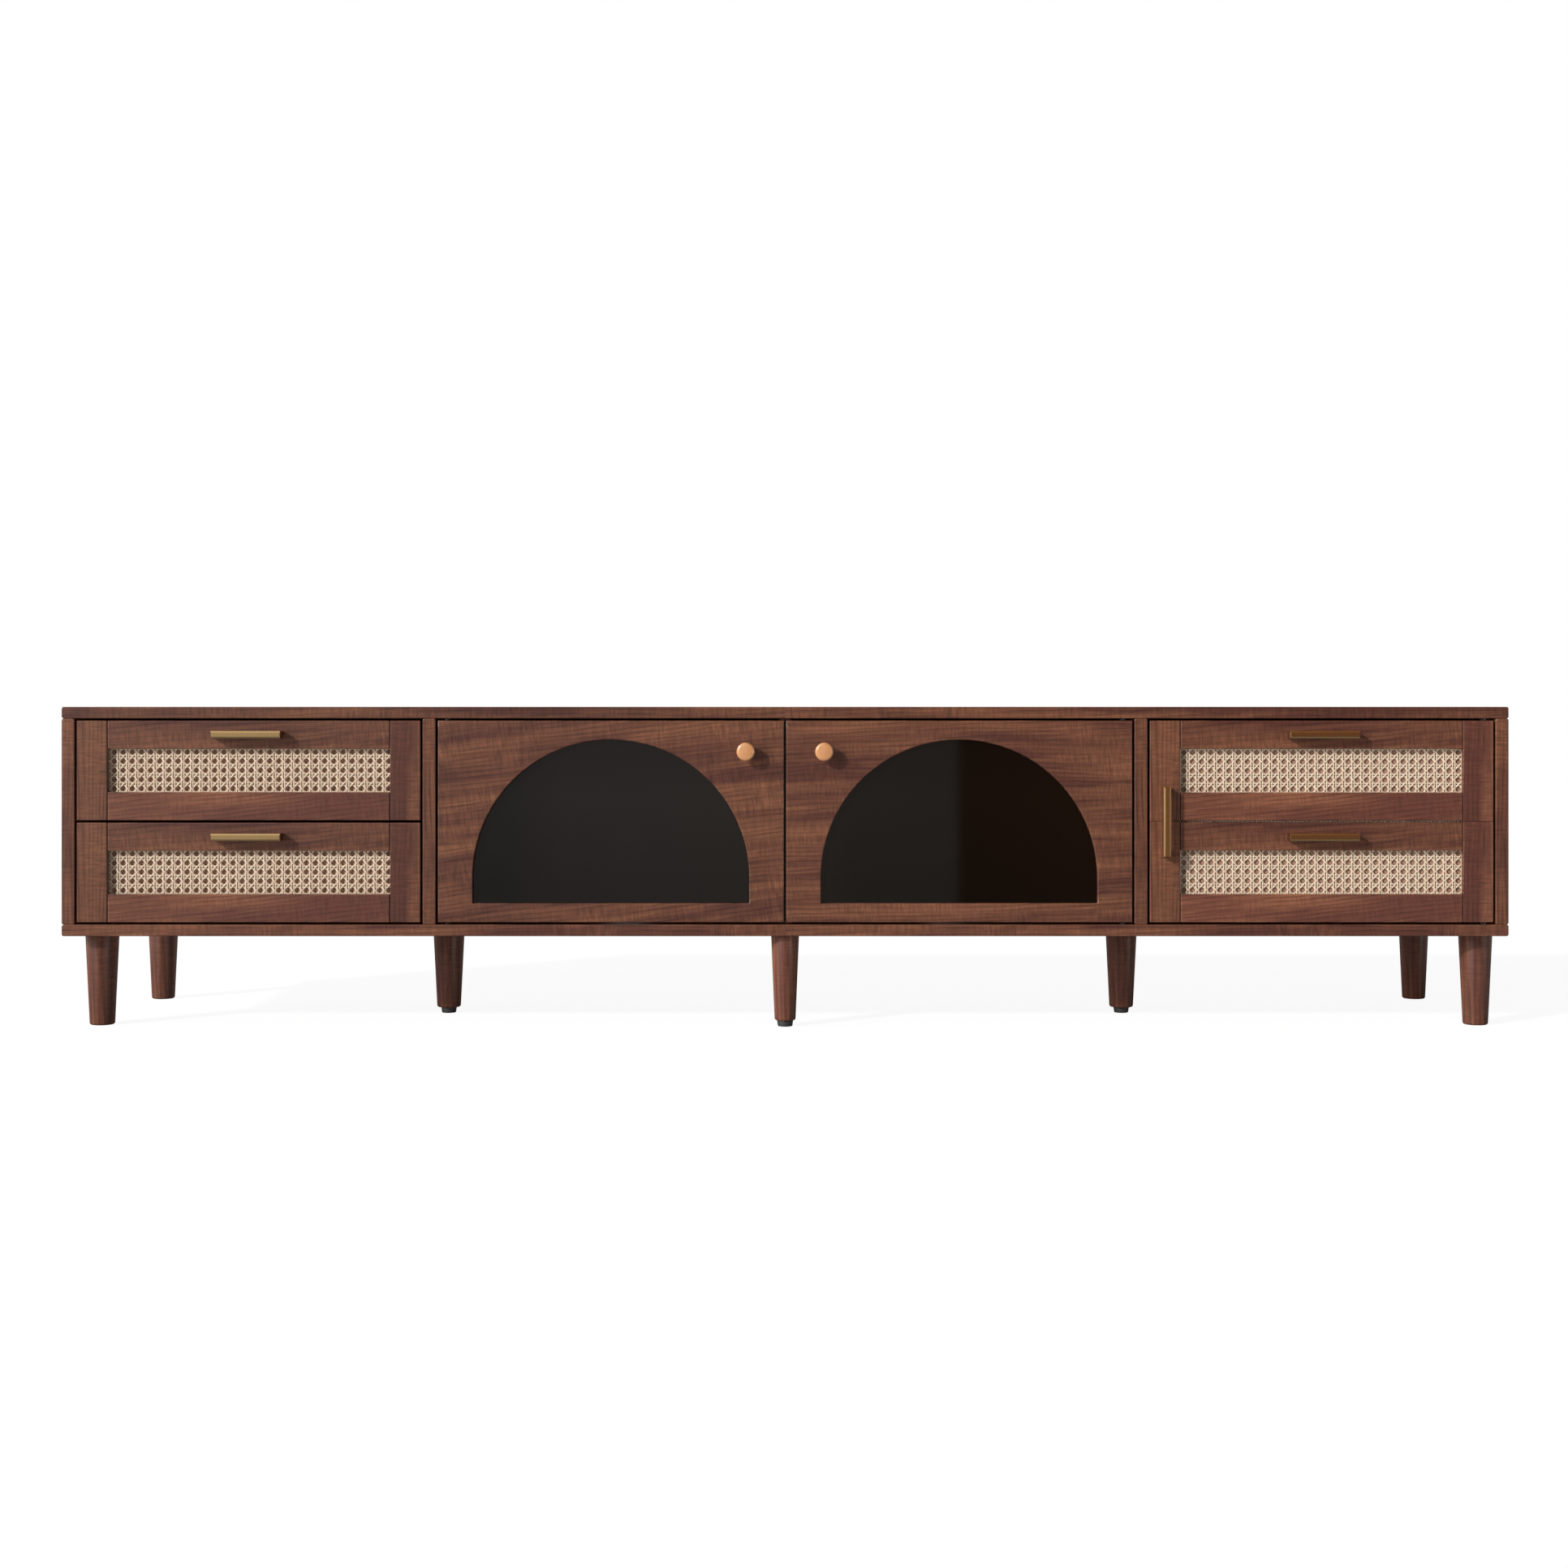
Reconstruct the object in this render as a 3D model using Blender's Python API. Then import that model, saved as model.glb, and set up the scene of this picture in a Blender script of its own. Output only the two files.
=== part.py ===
"""Low media console in walnut: two cane-fronted drawers, two arched glass doors and one cane door.

Metres, +Z up, front towards -Y. The origin is on the floor, in the middle of the footprint."""

import math

import bmesh
import bpy
from mathutils import Vector

# Overall size
WIDTH = 2.000
DEPTH = 0.400
HEIGHT = 0.445
LEG_HEIGHT = 0.128
SIDE_BAY_WIDTH = 0.481

# Carcass boards
TOP_THICKNESS = 0.016
BOTTOM_THICKNESS = 0.016
SIDE_THICKNESS = 0.018
DIVIDER_THICKNESS = 0.018
BACK_THICKNESS = 0.005
BACK_REBATE = 0.009
BOARD_EASE = 0.001
CABLE_HOLE_DIAMETER = 0.060
CABLE_HOLE_HEIGHT = 0.090

# Clearances
SEAT_GAP = 0.0003
REVEAL = 0.003
CENTRE_DIVIDER_GAP = 0.003
RUNNER_CLEARANCE = 0.0006
CUT_MARGIN = 0.004

# Framed fronts with a cane panel
FRONT_THICKNESS = 0.018
STILE_WIDTH = 0.042
RAIL_HEIGHT = 0.039
PANEL_REBATE = 0.008
CANE_SETBACK = 0.008
CANE_THICKNESS = 0.002
CANE_PITCH = 0.020
CANE_STRAND = 0.009
BACKING_THICKNESS = 0.006

# Arched glass doors
ARCH_SIDE_MARGIN = 0.048
ARCH_END_MARGIN = 0.0265
ARCH_SHOULDER = 0.035
ARCH_STEPS = 32
GLASS_THICKNESS = 0.004
GLASS_SETBACK = 0.007
GLASS_REBATE = 0.008

# Pivot hinges: a turned pin above and below each door
PIVOT_INSET = 0.013
PIVOT_SETBACK = 0.0065
PIVOT_PIN_DIAMETER = 0.005
PIVOT_PIN_LENGTH = 0.010
PIVOT_COLLAR_DIAMETER = 0.010
PIVOT_COVER = 0.008
PIVOT_STEPS = 12

# Drawer boxes and their runners
BOX_SIDE_GAP = 0.0025
BOX_TOP_MARGIN = 0.024
BOX_BOTTOM_MARGIN = 0.010
BOX_BACK_SPACE = 0.045
BOX_SIDE_THICKNESS = 0.014
BOX_BACK_THICKNESS = 0.012
BOX_BOTTOM_THICKNESS = 0.005
BOX_BOTTOM_RAISE = 0.008
BOTTOM_GROOVE_DEPTH = 0.004
RUNNER_GROOVE_HEIGHT = 0.014
RUNNER_GROOVE_DEPTH = 0.006
RUNNER_BACK_SPACE = 0.020

# Handles and knobs
HANDLE_LENGTH = 0.096
HANDLE_HEIGHT = 0.010
HANDLE_THICKNESS = 0.008
HANDLE_POST = 0.010
HANDLE_PROJECTION = 0.020
HANDLE_EASE = 0.0018
KNOB_DIAMETER = 0.0255
KNOB_PROJECTION = 0.020
KNOB_CAP_THICKNESS = 0.010
KNOB_STEM_DIAMETER = 0.012
KNOB_EASE = 0.0035
KNOB_EDGE_DISTANCE = 0.0525
KNOB_TOP_DISTANCE = 0.043

# Legs, feet and the plate under the centre seam
LEG_LEFT_INSET = 0.0412
LEG_RIGHT_INSET = 0.0307
LEG_SETBACK = 0.050
MIDDLE_LEG_SETBACK = 0.180
CENTRE_LEG_SETBACK = 0.031
LEG_TOP_DIAMETER = 0.046
LEG_FOOT_DIAMETER = 0.0345
CENTRE_LEG_TOP_DIAMETER = 0.039
CENTRE_LEG_FOOT_DIAMETER = 0.0295
LEG_EASE = 0.003
SPIGOT_DIAMETER = 0.010
SPIGOT_COVER = 0.006
BORE_CLEARANCE = 0.0005
PAD_HEIGHT = 0.008
PAD_TOP_DIAMETER = 0.0225
PAD_FOOT_DIAMETER = 0.0205
PAD_STEM_DIAMETER = 0.008
PAD_STEM_LENGTH = 0.022
PLATE_LENGTH = 0.120
PLATE_DEPTH = 0.044
PLATE_THICKNESS = 0.003
ROUND_STEPS = 20
EASE_STEPS = 3
MERGE_DISTANCE = 0.000001
SMOOTH_ANGLE = math.radians(35)

# Places worked out from the sizes above
FRONT_Y = (max(HANDLE_PROJECTION, KNOB_PROJECTION) - DEPTH) / 2
BACK_Y = FRONT_Y + DEPTH
DOOR_BACK_Y = FRONT_Y + FRONT_THICKNESS
FLOOR_Z = LEG_HEIGHT + BOTTOM_THICKNESS
CEILING_Z = HEIGHT - TOP_THICKNESS
LEFT_BAY_X = (SIDE_THICKNESS - WIDTH / 2, SIDE_THICKNESS - WIDTH / 2 + SIDE_BAY_WIDTH)
LEFT_DIVIDER_X = (LEFT_BAY_X[1], LEFT_BAY_X[1] + DIVIDER_THICKNESS)
INSIDE_Y = (DOOR_BACK_Y, BACK_Y - BACK_THICKNESS)
BOARD_Z = (FLOOR_Z + SEAT_GAP, CEILING_Z - SEAT_GAP)
FRONT_HEIGHT = (CEILING_Z - FLOOR_Z - 3 * REVEAL) / 2
LOWER_FRONT_Z = (FLOOR_Z + REVEAL, FLOOR_Z + REVEAL + FRONT_HEIGHT)
UPPER_FRONT_Z = (CEILING_Z - REVEAL - FRONT_HEIGHT, CEILING_Z - REVEAL)
DOOR_Z = (LOWER_FRONT_Z[0], UPPER_FRONT_Z[1])
PIVOT_Y = FRONT_Y + PIVOT_SETBACK


def mirrored(span):
    return -span[1], -span[0]


def inset(span, amount):
    return span[0] + amount, span[1] - amount


def middle(span):
    return (span[0] + span[1]) / 2


# Finishes
def linear(hex_colour):
    """A six-digit sRGB hex colour as linear red, green, blue and alpha."""
    channels = [int(hex_colour[i : i + 2], 16) / 255 for i in (0, 2, 4)]
    lit = [c / 12.92 if c <= 0.04045 else ((c + 0.055) / 1.055) ** 2.4 for c in channels]
    return (*lit, 1.0)


def finish(name, hex_colour, roughness, metallic=0.0, transmission=0.0):
    material = bpy.data.materials.new(name)
    material.use_nodes = True
    shader = material.node_tree.nodes["Principled BSDF"]
    shader.inputs["Base Color"].default_value = linear(hex_colour)
    shader.inputs["Roughness"].default_value = roughness
    shader.inputs["Metallic"].default_value = metallic
    shader.inputs["Transmission Weight"].default_value = transmission
    material.diffuse_color = linear(hex_colour)
    return material


# Shapes
def add(name, data, centre, material, carrier=None, rotation=(0, 0, 0)):
    """Links a new object at a world place, carried by an empty where it moves."""
    part = bpy.data.objects.new(name, data)
    bpy.context.scene.collection.objects.link(part)
    part.parent = carrier
    part.location = Vector(centre) - (carrier.location if carrier else Vector())
    part.rotation_euler = rotation
    if material:
        data.materials.append(material)
    return part


def mesh_from(name, shape):
    bmesh.ops.recalc_face_normals(shape, faces=shape.faces)
    mesh = bpy.data.meshes.new(name)
    shape.to_mesh(mesh)
    shape.free()
    return mesh


def board(name, x, y, z, material, carrier=None, ease=BOARD_EASE, square=()):
    """A flat board with eased edges. The faces named in square, such as +X, keep sharp edges."""
    size = Vector((x[1] - x[0], y[1] - y[0], z[1] - z[0]))
    shape = bmesh.new()
    bmesh.ops.create_cube(shape, size=1)
    bmesh.ops.scale(shape, vec=size, verts=shape.verts)

    def stays_sharp(face):
        axis = max(range(3), key=lambda i: abs(face.normal[i]))
        return ("+" if face.normal[axis] > 0 else "-") + "XYZ"[axis] in square

    eased = [edge for edge in shape.edges if not any(stays_sharp(face) for face in edge.link_faces)]
    if ease:
        bmesh.ops.bevel(shape, geom=eased, offset=ease, segments=1, affect="EDGES")
    return add(name, mesh_from(name, shape), (middle(x), middle(y), middle(z)), material, carrier)


def turned(name, profile, base, material, carrier=None, rotation=(0, 0, 0), steps=ROUND_STEPS):
    """A lathe-turned piece: (radius, height) points from one end of its axis to the other, above base."""
    shape = bmesh.new()
    points = [shape.verts.new((radius, 0, height)) for radius, height in profile]
    edges = [shape.edges.new(pair) for pair in zip(points, points[1:])]
    bmesh.ops.spin(
        shape,
        geom=points + edges,
        cent=(0, 0, 0),
        axis=(0, 0, 1),
        angle=math.tau,
        steps=steps,
        use_merge=True,
    )
    bmesh.ops.remove_doubles(shape, verts=shape.verts, dist=MERGE_DISTANCE)
    mesh = mesh_from(name, shape)
    mesh.shade_smooth()
    mesh.set_sharp_from_angle(angle=SMOOTH_ANGLE)
    return add(name, mesh, base, material, carrier, rotation)


def slab(name, outline, thickness, front_centre, material, carrier=None):
    """An outline of (x, z) points, seen from the front, extruded backwards from front_centre."""
    shape = bmesh.new()
    face = shape.faces.new([shape.verts.new((x, 0, z)) for x, z in outline])
    grown = bmesh.ops.extrude_face_region(shape, geom=[face])["geom"]
    moved = [v for v in grown if isinstance(v, bmesh.types.BMVert)]
    bmesh.ops.translate(shape, verts=moved, vec=(0, thickness, 0))
    return add(name, mesh_from(name, shape), front_centre, material, carrier)


def arc(centre, radius, start, end, steps=EASE_STEPS):
    """Points along a circle from the start angle to the end angle, in degrees."""
    angles = [math.radians(start + (end - start) * i / steps) for i in range(steps + 1)]
    return [(centre[0] + radius * math.cos(a), centre[1] + radius * math.sin(a)) for a in angles]


def cut(part, cutter):
    """Takes the cutter's shape out of a part. The cutter itself is only a guide."""
    cutter.hide_render = True
    cutter.display_type = "WIRE"
    modifier = part.modifiers.new(cutter.name, "BOOLEAN")
    modifier.operation = "DIFFERENCE"
    modifier.solver = "EXACT"
    modifier.object = cutter


def box_cut(part, label, x, y, z):
    cut(part, board(f"{part.name}_{label}", x, y, z, None, part.parent, ease=0))


def bore_cut(part, label, x, y, z, diameter):
    """A round hole along Z."""
    radius = diameter / 2 + BORE_CLEARANCE
    profile = [(0, z[1]), (radius, z[1]), (radius, z[0]), (0, z[0])]
    cut(part, turned(f"{part.name}_{label}", profile, (x, y, 0), None, part.parent))


def carrier_at(name, place):
    """An empty on the line or axis that a moving group travels on."""
    empty = bpy.data.objects.new(name, None)
    bpy.context.scene.collection.objects.link(empty)
    empty.location = place
    return empty


# Places of the turned pieces: legs stand in the bottom boards, pivots in the boards above and below a door
LEFT_DOOR_X = (LEFT_DIVIDER_X[1] + REVEAL, -REVEAL / 2)
RIGHT_DOOR_X = mirrored(LEFT_DOOR_X)
SIDE_DOOR_X = mirrored(inset(LEFT_BAY_X, REVEAL))
LEFT_PIVOT_X = LEFT_DOOR_X[0] + PIVOT_INSET
RIGHT_PIVOT_X = RIGHT_DOOR_X[1] - PIVOT_INSET
SIDE_PIVOT_X = SIDE_DOOR_X[1] - PIVOT_INSET
LEG_PLACES = {
    "front_left": (LEG_LEFT_INSET - WIDTH / 2, FRONT_Y + LEG_SETBACK),
    "back_left": (LEG_LEFT_INSET - WIDTH / 2, BACK_Y - LEG_SETBACK),
    "middle_left": (middle(LEFT_DIVIDER_X), FRONT_Y + MIDDLE_LEG_SETBACK),
    "front_right": (WIDTH / 2 - LEG_RIGHT_INSET, FRONT_Y + LEG_SETBACK),
    "back_right": (WIDTH / 2 - LEG_RIGHT_INSET, BACK_Y - LEG_SETBACK),
    "middle_right": (-middle(LEFT_DIVIDER_X), FRONT_Y + MIDDLE_LEG_SETBACK),
}
CENTRE_LEG_PLACE = (0, FRONT_Y + CENTRE_LEG_SETBACK)
PLATE_X = (-PLATE_LENGTH / 2, PLATE_LENGTH / 2)
PLATE_Y = (CENTRE_LEG_PLACE[1] - PLATE_DEPTH / 2, CENTRE_LEG_PLACE[1] + PLATE_DEPTH / 2)
PLATE_Z = (LEG_HEIGHT, LEG_HEIGHT + PLATE_THICKNESS)


def make_carcass(walnut, side):
    """One half of the carcass: top, bottom, side, divider and back. The halves butt together at X = 0."""
    left = side == "left"
    half = (lambda span: span) if left else mirrored
    seam = "+X" if left else "-X"
    whole_x = half((-WIDTH / 2, -SEAT_GAP / 2))
    whole_y = (FRONT_Y, BACK_Y)
    pivots = [LEFT_PIVOT_X] if left else [RIGHT_PIVOT_X, SIDE_PIVOT_X]

    top = board(f"top_panel_{side}", whole_x, whole_y, (CEILING_Z, HEIGHT), walnut, square=[seam])
    for i, x in enumerate(pivots):
        z = (CEILING_Z - CUT_MARGIN, HEIGHT - PIVOT_COVER + SEAT_GAP)
        bore_cut(top, f"pivot_bore_{i}", x, PIVOT_Y, z, PIVOT_PIN_DIAMETER)

    bottom = board(f"bottom_panel_{side}", whole_x, whole_y, (LEG_HEIGHT, FLOOR_Z), walnut, square=[seam])
    for i, x in enumerate(pivots):
        z = (LEG_HEIGHT + PIVOT_COVER - SEAT_GAP, FLOOR_Z + CUT_MARGIN)
        bore_cut(bottom, f"pivot_bore_{i}", x, PIVOT_Y, z, PIVOT_PIN_DIAMETER)
    for place, (x, y) in LEG_PLACES.items():
        if place.endswith(side):
            z = (LEG_HEIGHT - CUT_MARGIN, FLOOR_Z - SPIGOT_COVER + SEAT_GAP)
            bore_cut(bottom, f"{place}_leg_bore", x, y, z, SPIGOT_DIAMETER)
    recess_z = (LEG_HEIGHT - CUT_MARGIN, PLATE_Z[1] + SEAT_GAP)
    box_cut(bottom, "plate_recess", inset(PLATE_X, -SEAT_GAP), inset(PLATE_Y, -SEAT_GAP), recess_z)

    side_x = half((-WIDTH / 2, LEFT_BAY_X[0]))
    panel = board(f"side_panel_{side}", side_x, whole_y, BOARD_Z, walnut)
    rebate_x = half((LEFT_BAY_X[0] - BACK_REBATE, LEFT_BAY_X[0] + CUT_MARGIN))
    rebate_y = (INSIDE_Y[1] - SEAT_GAP, BACK_Y + CUT_MARGIN)
    box_cut(panel, "back_rebate", rebate_x, rebate_y, inset(BOARD_Z, -CUT_MARGIN))

    divider_y = (FRONT_Y, INSIDE_Y[1] - SEAT_GAP)
    board(f"divider_{side}", half(LEFT_DIVIDER_X), divider_y, BOARD_Z, walnut)

    back_x = half((LEFT_BAY_X[0] - BACK_REBATE + SEAT_GAP, -SEAT_GAP / 2))
    back_y = (INSIDE_Y[1], BACK_Y)
    back = board(f"back_panel_{side}", back_x, back_y, BOARD_Z, walnut, ease=0)
    hole_x = middle(half((LEFT_DIVIDER_X[1], -DIVIDER_THICKNESS / 2)))
    hole = arc((0, 0), CABLE_HOLE_DIAMETER / 2, 0, 360, ROUND_STEPS)[:-1]
    hole_centre = (hole_x, INSIDE_Y[1] - CUT_MARGIN, FLOOR_Z + CABLE_HOLE_HEIGHT)
    cut(back, slab(f"{back.name}_cable_hole", hole, BACK_THICKNESS + 2 * CUT_MARGIN, hole_centre, None))


def make_centre_divider(walnut):
    """The upright that carries the seam of the top, behind the meeting edges of the glass doors."""
    x = (-DIVIDER_THICKNESS / 2, DIVIDER_THICKNESS / 2)
    y = (DOOR_BACK_Y + CENTRE_DIVIDER_GAP, INSIDE_Y[1] - SEAT_GAP)
    board("divider_centre", x, y, BOARD_Z, walnut)


def leg_profile(top_diameter, foot_diameter, z, spigot_top, stem_bore):
    """A tapered leg with a spigot above its shoulder and, where it has a foot, a bore for its stem."""
    top_radius = top_diameter / 2
    foot_radius = foot_diameter / 2
    spigot_radius = SPIGOT_DIAMETER / 2
    points = [(0, spigot_top), (spigot_radius, spigot_top), (spigot_radius, z[1])]
    points += [(top_radius - BOARD_EASE, z[1]), (top_radius, z[1] - BOARD_EASE)]
    points += arc((foot_radius - LEG_EASE, z[0] + LEG_EASE), LEG_EASE, 0, -90)
    if stem_bore:
        bore_radius = PAD_STEM_DIAMETER / 2 + BORE_CLEARANCE
        bore_top = z[0] + PAD_STEM_LENGTH
        points += [(bore_radius, z[0]), (bore_radius, bore_top), (0, bore_top)]
    else:
        points += [(0, z[0])]
    return points


def make_foot(place, x, y, black):
    """A levelling foot: a tapered pad on a threaded stem that screws out of its leg."""
    thread = carrier_at(f"foot_{place}_thread", (x, y, 0))
    stem_radius = PAD_STEM_DIAMETER / 2
    stem_top = PAD_HEIGHT + PAD_STEM_LENGTH - SEAT_GAP
    profile = [(0, stem_top), (stem_radius, stem_top), (stem_radius, PAD_HEIGHT)]
    profile += [(PAD_TOP_DIAMETER / 2, PAD_HEIGHT), (PAD_FOOT_DIAMETER / 2, 0), (0, 0)]
    turned(f"foot_{place}", profile, (x, y, 0), black, thread)


def make_legs(walnut, steel, black):
    """Four corner legs, two footed ones under the dividers and a slimmer one on a plate across the seam."""
    spigot_top = FLOOR_Z - SPIGOT_COVER
    shoulder = LEG_HEIGHT - SEAT_GAP
    for place, (x, y) in LEG_PLACES.items():
        footed = place.startswith("middle")
        z = (PAD_HEIGHT + SEAT_GAP if footed else 0, shoulder)
        profile = leg_profile(LEG_TOP_DIAMETER, LEG_FOOT_DIAMETER, z, spigot_top, footed)
        turned(f"leg_{place}", profile, (x, y, 0), walnut)
        if footed:
            make_foot(place, x, y, black)

    x, y = CENTRE_LEG_PLACE
    plate = board("centre_leg_plate", PLATE_X, PLATE_Y, PLATE_Z, steel, ease=0)
    bore_cut(plate, "leg_bore", x, y, inset(PLATE_Z, -CUT_MARGIN), SPIGOT_DIAMETER)
    z = (PAD_HEIGHT + SEAT_GAP, shoulder)
    profile = leg_profile(CENTRE_LEG_TOP_DIAMETER, CENTRE_LEG_FOOT_DIAMETER, z, PLATE_Z[1], True)
    turned("leg_front_centre", profile, (x, y, 0), walnut)
    make_foot("front_centre", x, y, black)


def make_pivot(name, x, board_face, up, seat_depth, steel):
    """A hinge pin: seated in the board, with a thrust collar in the reveal and a pin in the door's edge."""
    pin_radius = PIVOT_PIN_DIAMETER / 2
    collar_radius = PIVOT_COLLAR_DIAMETER / 2
    heights = [-seat_depth, SEAT_GAP, REVEAL - SEAT_GAP, REVEAL + PIVOT_PIN_LENGTH]
    profile = [(0, heights[0]), (pin_radius, heights[0]), (pin_radius, heights[1])]
    profile += [(collar_radius, heights[1]), (collar_radius, heights[2])]
    profile += [(pin_radius, heights[2]), (pin_radius, heights[3]), (0, heights[3])]
    rotation = (0, 0, 0) if up else (math.pi, 0, 0)
    turned(name, profile, (x, PIVOT_Y, board_face), steel, rotation=rotation, steps=PIVOT_STEPS)


def make_pivots(door, x, steel):
    make_pivot(f"{door}_pivot_lower", x, FLOOR_Z, True, BOTTOM_THICKNESS - PIVOT_COVER, steel)
    make_pivot(f"{door}_pivot_upper", x, CEILING_Z, False, TOP_THICKNESS - PIVOT_COVER, steel)


def bore_for_pivots(door, x):
    """The two holes in a door's edges that its hinge pins turn in."""
    length = PIVOT_PIN_LENGTH + SEAT_GAP
    lower_z = (DOOR_Z[0] - CUT_MARGIN, DOOR_Z[0] + length)
    upper_z = (DOOR_Z[1] - length, DOOR_Z[1] + CUT_MARGIN)
    bore_cut(door, "lower_bore", x, PIVOT_Y, lower_z, PIVOT_PIN_DIAMETER)
    bore_cut(door, "upper_bore", x, PIVOT_Y, upper_z, PIVOT_PIN_DIAMETER)


def make_handle(name, x, z, brass, carrier, upright=False):
    """A square bar bent back at both ends, so that fingers go behind it."""
    reach = HANDLE_PROJECTION
    gap = HANDLE_PROJECTION - HANDLE_THICKNESS
    end = HANDLE_LENGTH / 2
    post = end - HANDLE_POST
    outline = [(-end, SEAT_GAP), (-end, reach), (end, reach), (end, SEAT_GAP)]
    outline += [(post, SEAT_GAP), (post, gap), (-post, gap), (-post, SEAT_GAP)]
    rotation = (math.pi / 2, math.pi / 2 if upright else 0, 0)
    shape = bmesh.new()
    face = shape.faces.new([shape.verts.new((along, -HANDLE_HEIGHT / 2, out)) for along, out in outline])
    grown = bmesh.ops.extrude_face_region(shape, geom=[face])["geom"]
    moved = [v for v in grown if isinstance(v, bmesh.types.BMVert)]
    bmesh.ops.translate(shape, verts=moved, vec=(0, HANDLE_HEIGHT, 0))
    bmesh.ops.recalc_face_normals(shape, faces=shape.faces)
    eased = [e for e in shape.edges if min(v.co.z for v in e.verts) > gap + HANDLE_EASE]
    bmesh.ops.bevel(shape, geom=eased, offset=HANDLE_EASE, segments=1, affect="EDGES")
    add(name, mesh_from(name, shape), (x, FRONT_Y, z), brass, carrier, rotation)


def make_cane(name, x, openings, z, cane, carrier):
    """A sheet of cane netting, with its holes where the frame's openings show it."""
    centre_x = middle(x)
    centre_z = middle(z)
    curve = bpy.data.curves.new(name, "CURVE")
    curve.dimensions = "2D"
    curve.fill_mode = "BOTH"
    curve.extrude = CANE_THICKNESS / 2

    def outline(low, high):
        spline = curve.splines.new("POLY")
        spline.use_cyclic_u = True
        spline.points.add(3)
        corners = [low, (high[0], low[1]), high, (low[0], high[1])]
        for point, (across, up) in zip(spline.points, corners):
            point.co = (across - centre_x, up - centre_z, 0, 1)

    outline((x[0], z[0]), (x[1], z[1]))
    half_hole = (CANE_PITCH - CANE_STRAND) / 2
    for across, up in openings:
        columns = int((across[1] - across[0]) / CANE_PITCH)
        rows = int((up[1] - up[0]) / CANE_PITCH + 0.5)
        for column in range(columns):
            hole_x = middle(across) + (column - (columns - 1) / 2) * CANE_PITCH
            for row in range(rows):
                hole_z = middle(up) + (row - (rows - 1) / 2) * CANE_PITCH
                low = (hole_x - half_hole, hole_z - half_hole)
                outline(low, (hole_x + half_hole, hole_z + half_hole))
    y = FRONT_Y + CANE_SETBACK + SEAT_GAP + CANE_THICKNESS / 2
    add(name, curve, (centre_x, y, centre_z), cane, carrier, (math.pi / 2, 0, 0))


def make_cane_front(prefix, x, z, openings, finishes, carrier):
    """A stile-and-rail frame with cane let into the back of it, and a thin board behind the cane."""
    frame_y = (FRONT_Y, DOOR_BACK_Y)
    frame = board(f"{prefix}_frame", x, frame_y, z, finishes["walnut"], carrier)
    for i, (across, up) in enumerate(openings):
        box_cut(frame, f"opening_{i}", across, inset(frame_y, -CUT_MARGIN), up)
    sheet_x = inset(openings[0][0], -PANEL_REBATE)
    sheet_z = (openings[0][1][0] - PANEL_REBATE, openings[-1][1][1] + PANEL_REBATE)
    box_cut(frame, "rebate", sheet_x, (FRONT_Y + CANE_SETBACK, DOOR_BACK_Y + CUT_MARGIN), sheet_z)
    sheet_x = inset(sheet_x, SEAT_GAP)
    sheet_z = inset(sheet_z, SEAT_GAP)
    shown = [opening for opening in openings if opening[1][1] - opening[1][0] > CANE_PITCH]
    make_cane(f"{prefix}_cane", sheet_x, shown, sheet_z, finishes["cane"], carrier)
    backing_front = FRONT_Y + CANE_SETBACK + CANE_THICKNESS + 2 * SEAT_GAP
    backing_y = (backing_front, backing_front + BACKING_THICKNESS)
    board(f"{prefix}_backing", sheet_x, backing_y, sheet_z, finishes["walnut"], carrier, ease=0)
    return frame


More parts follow.
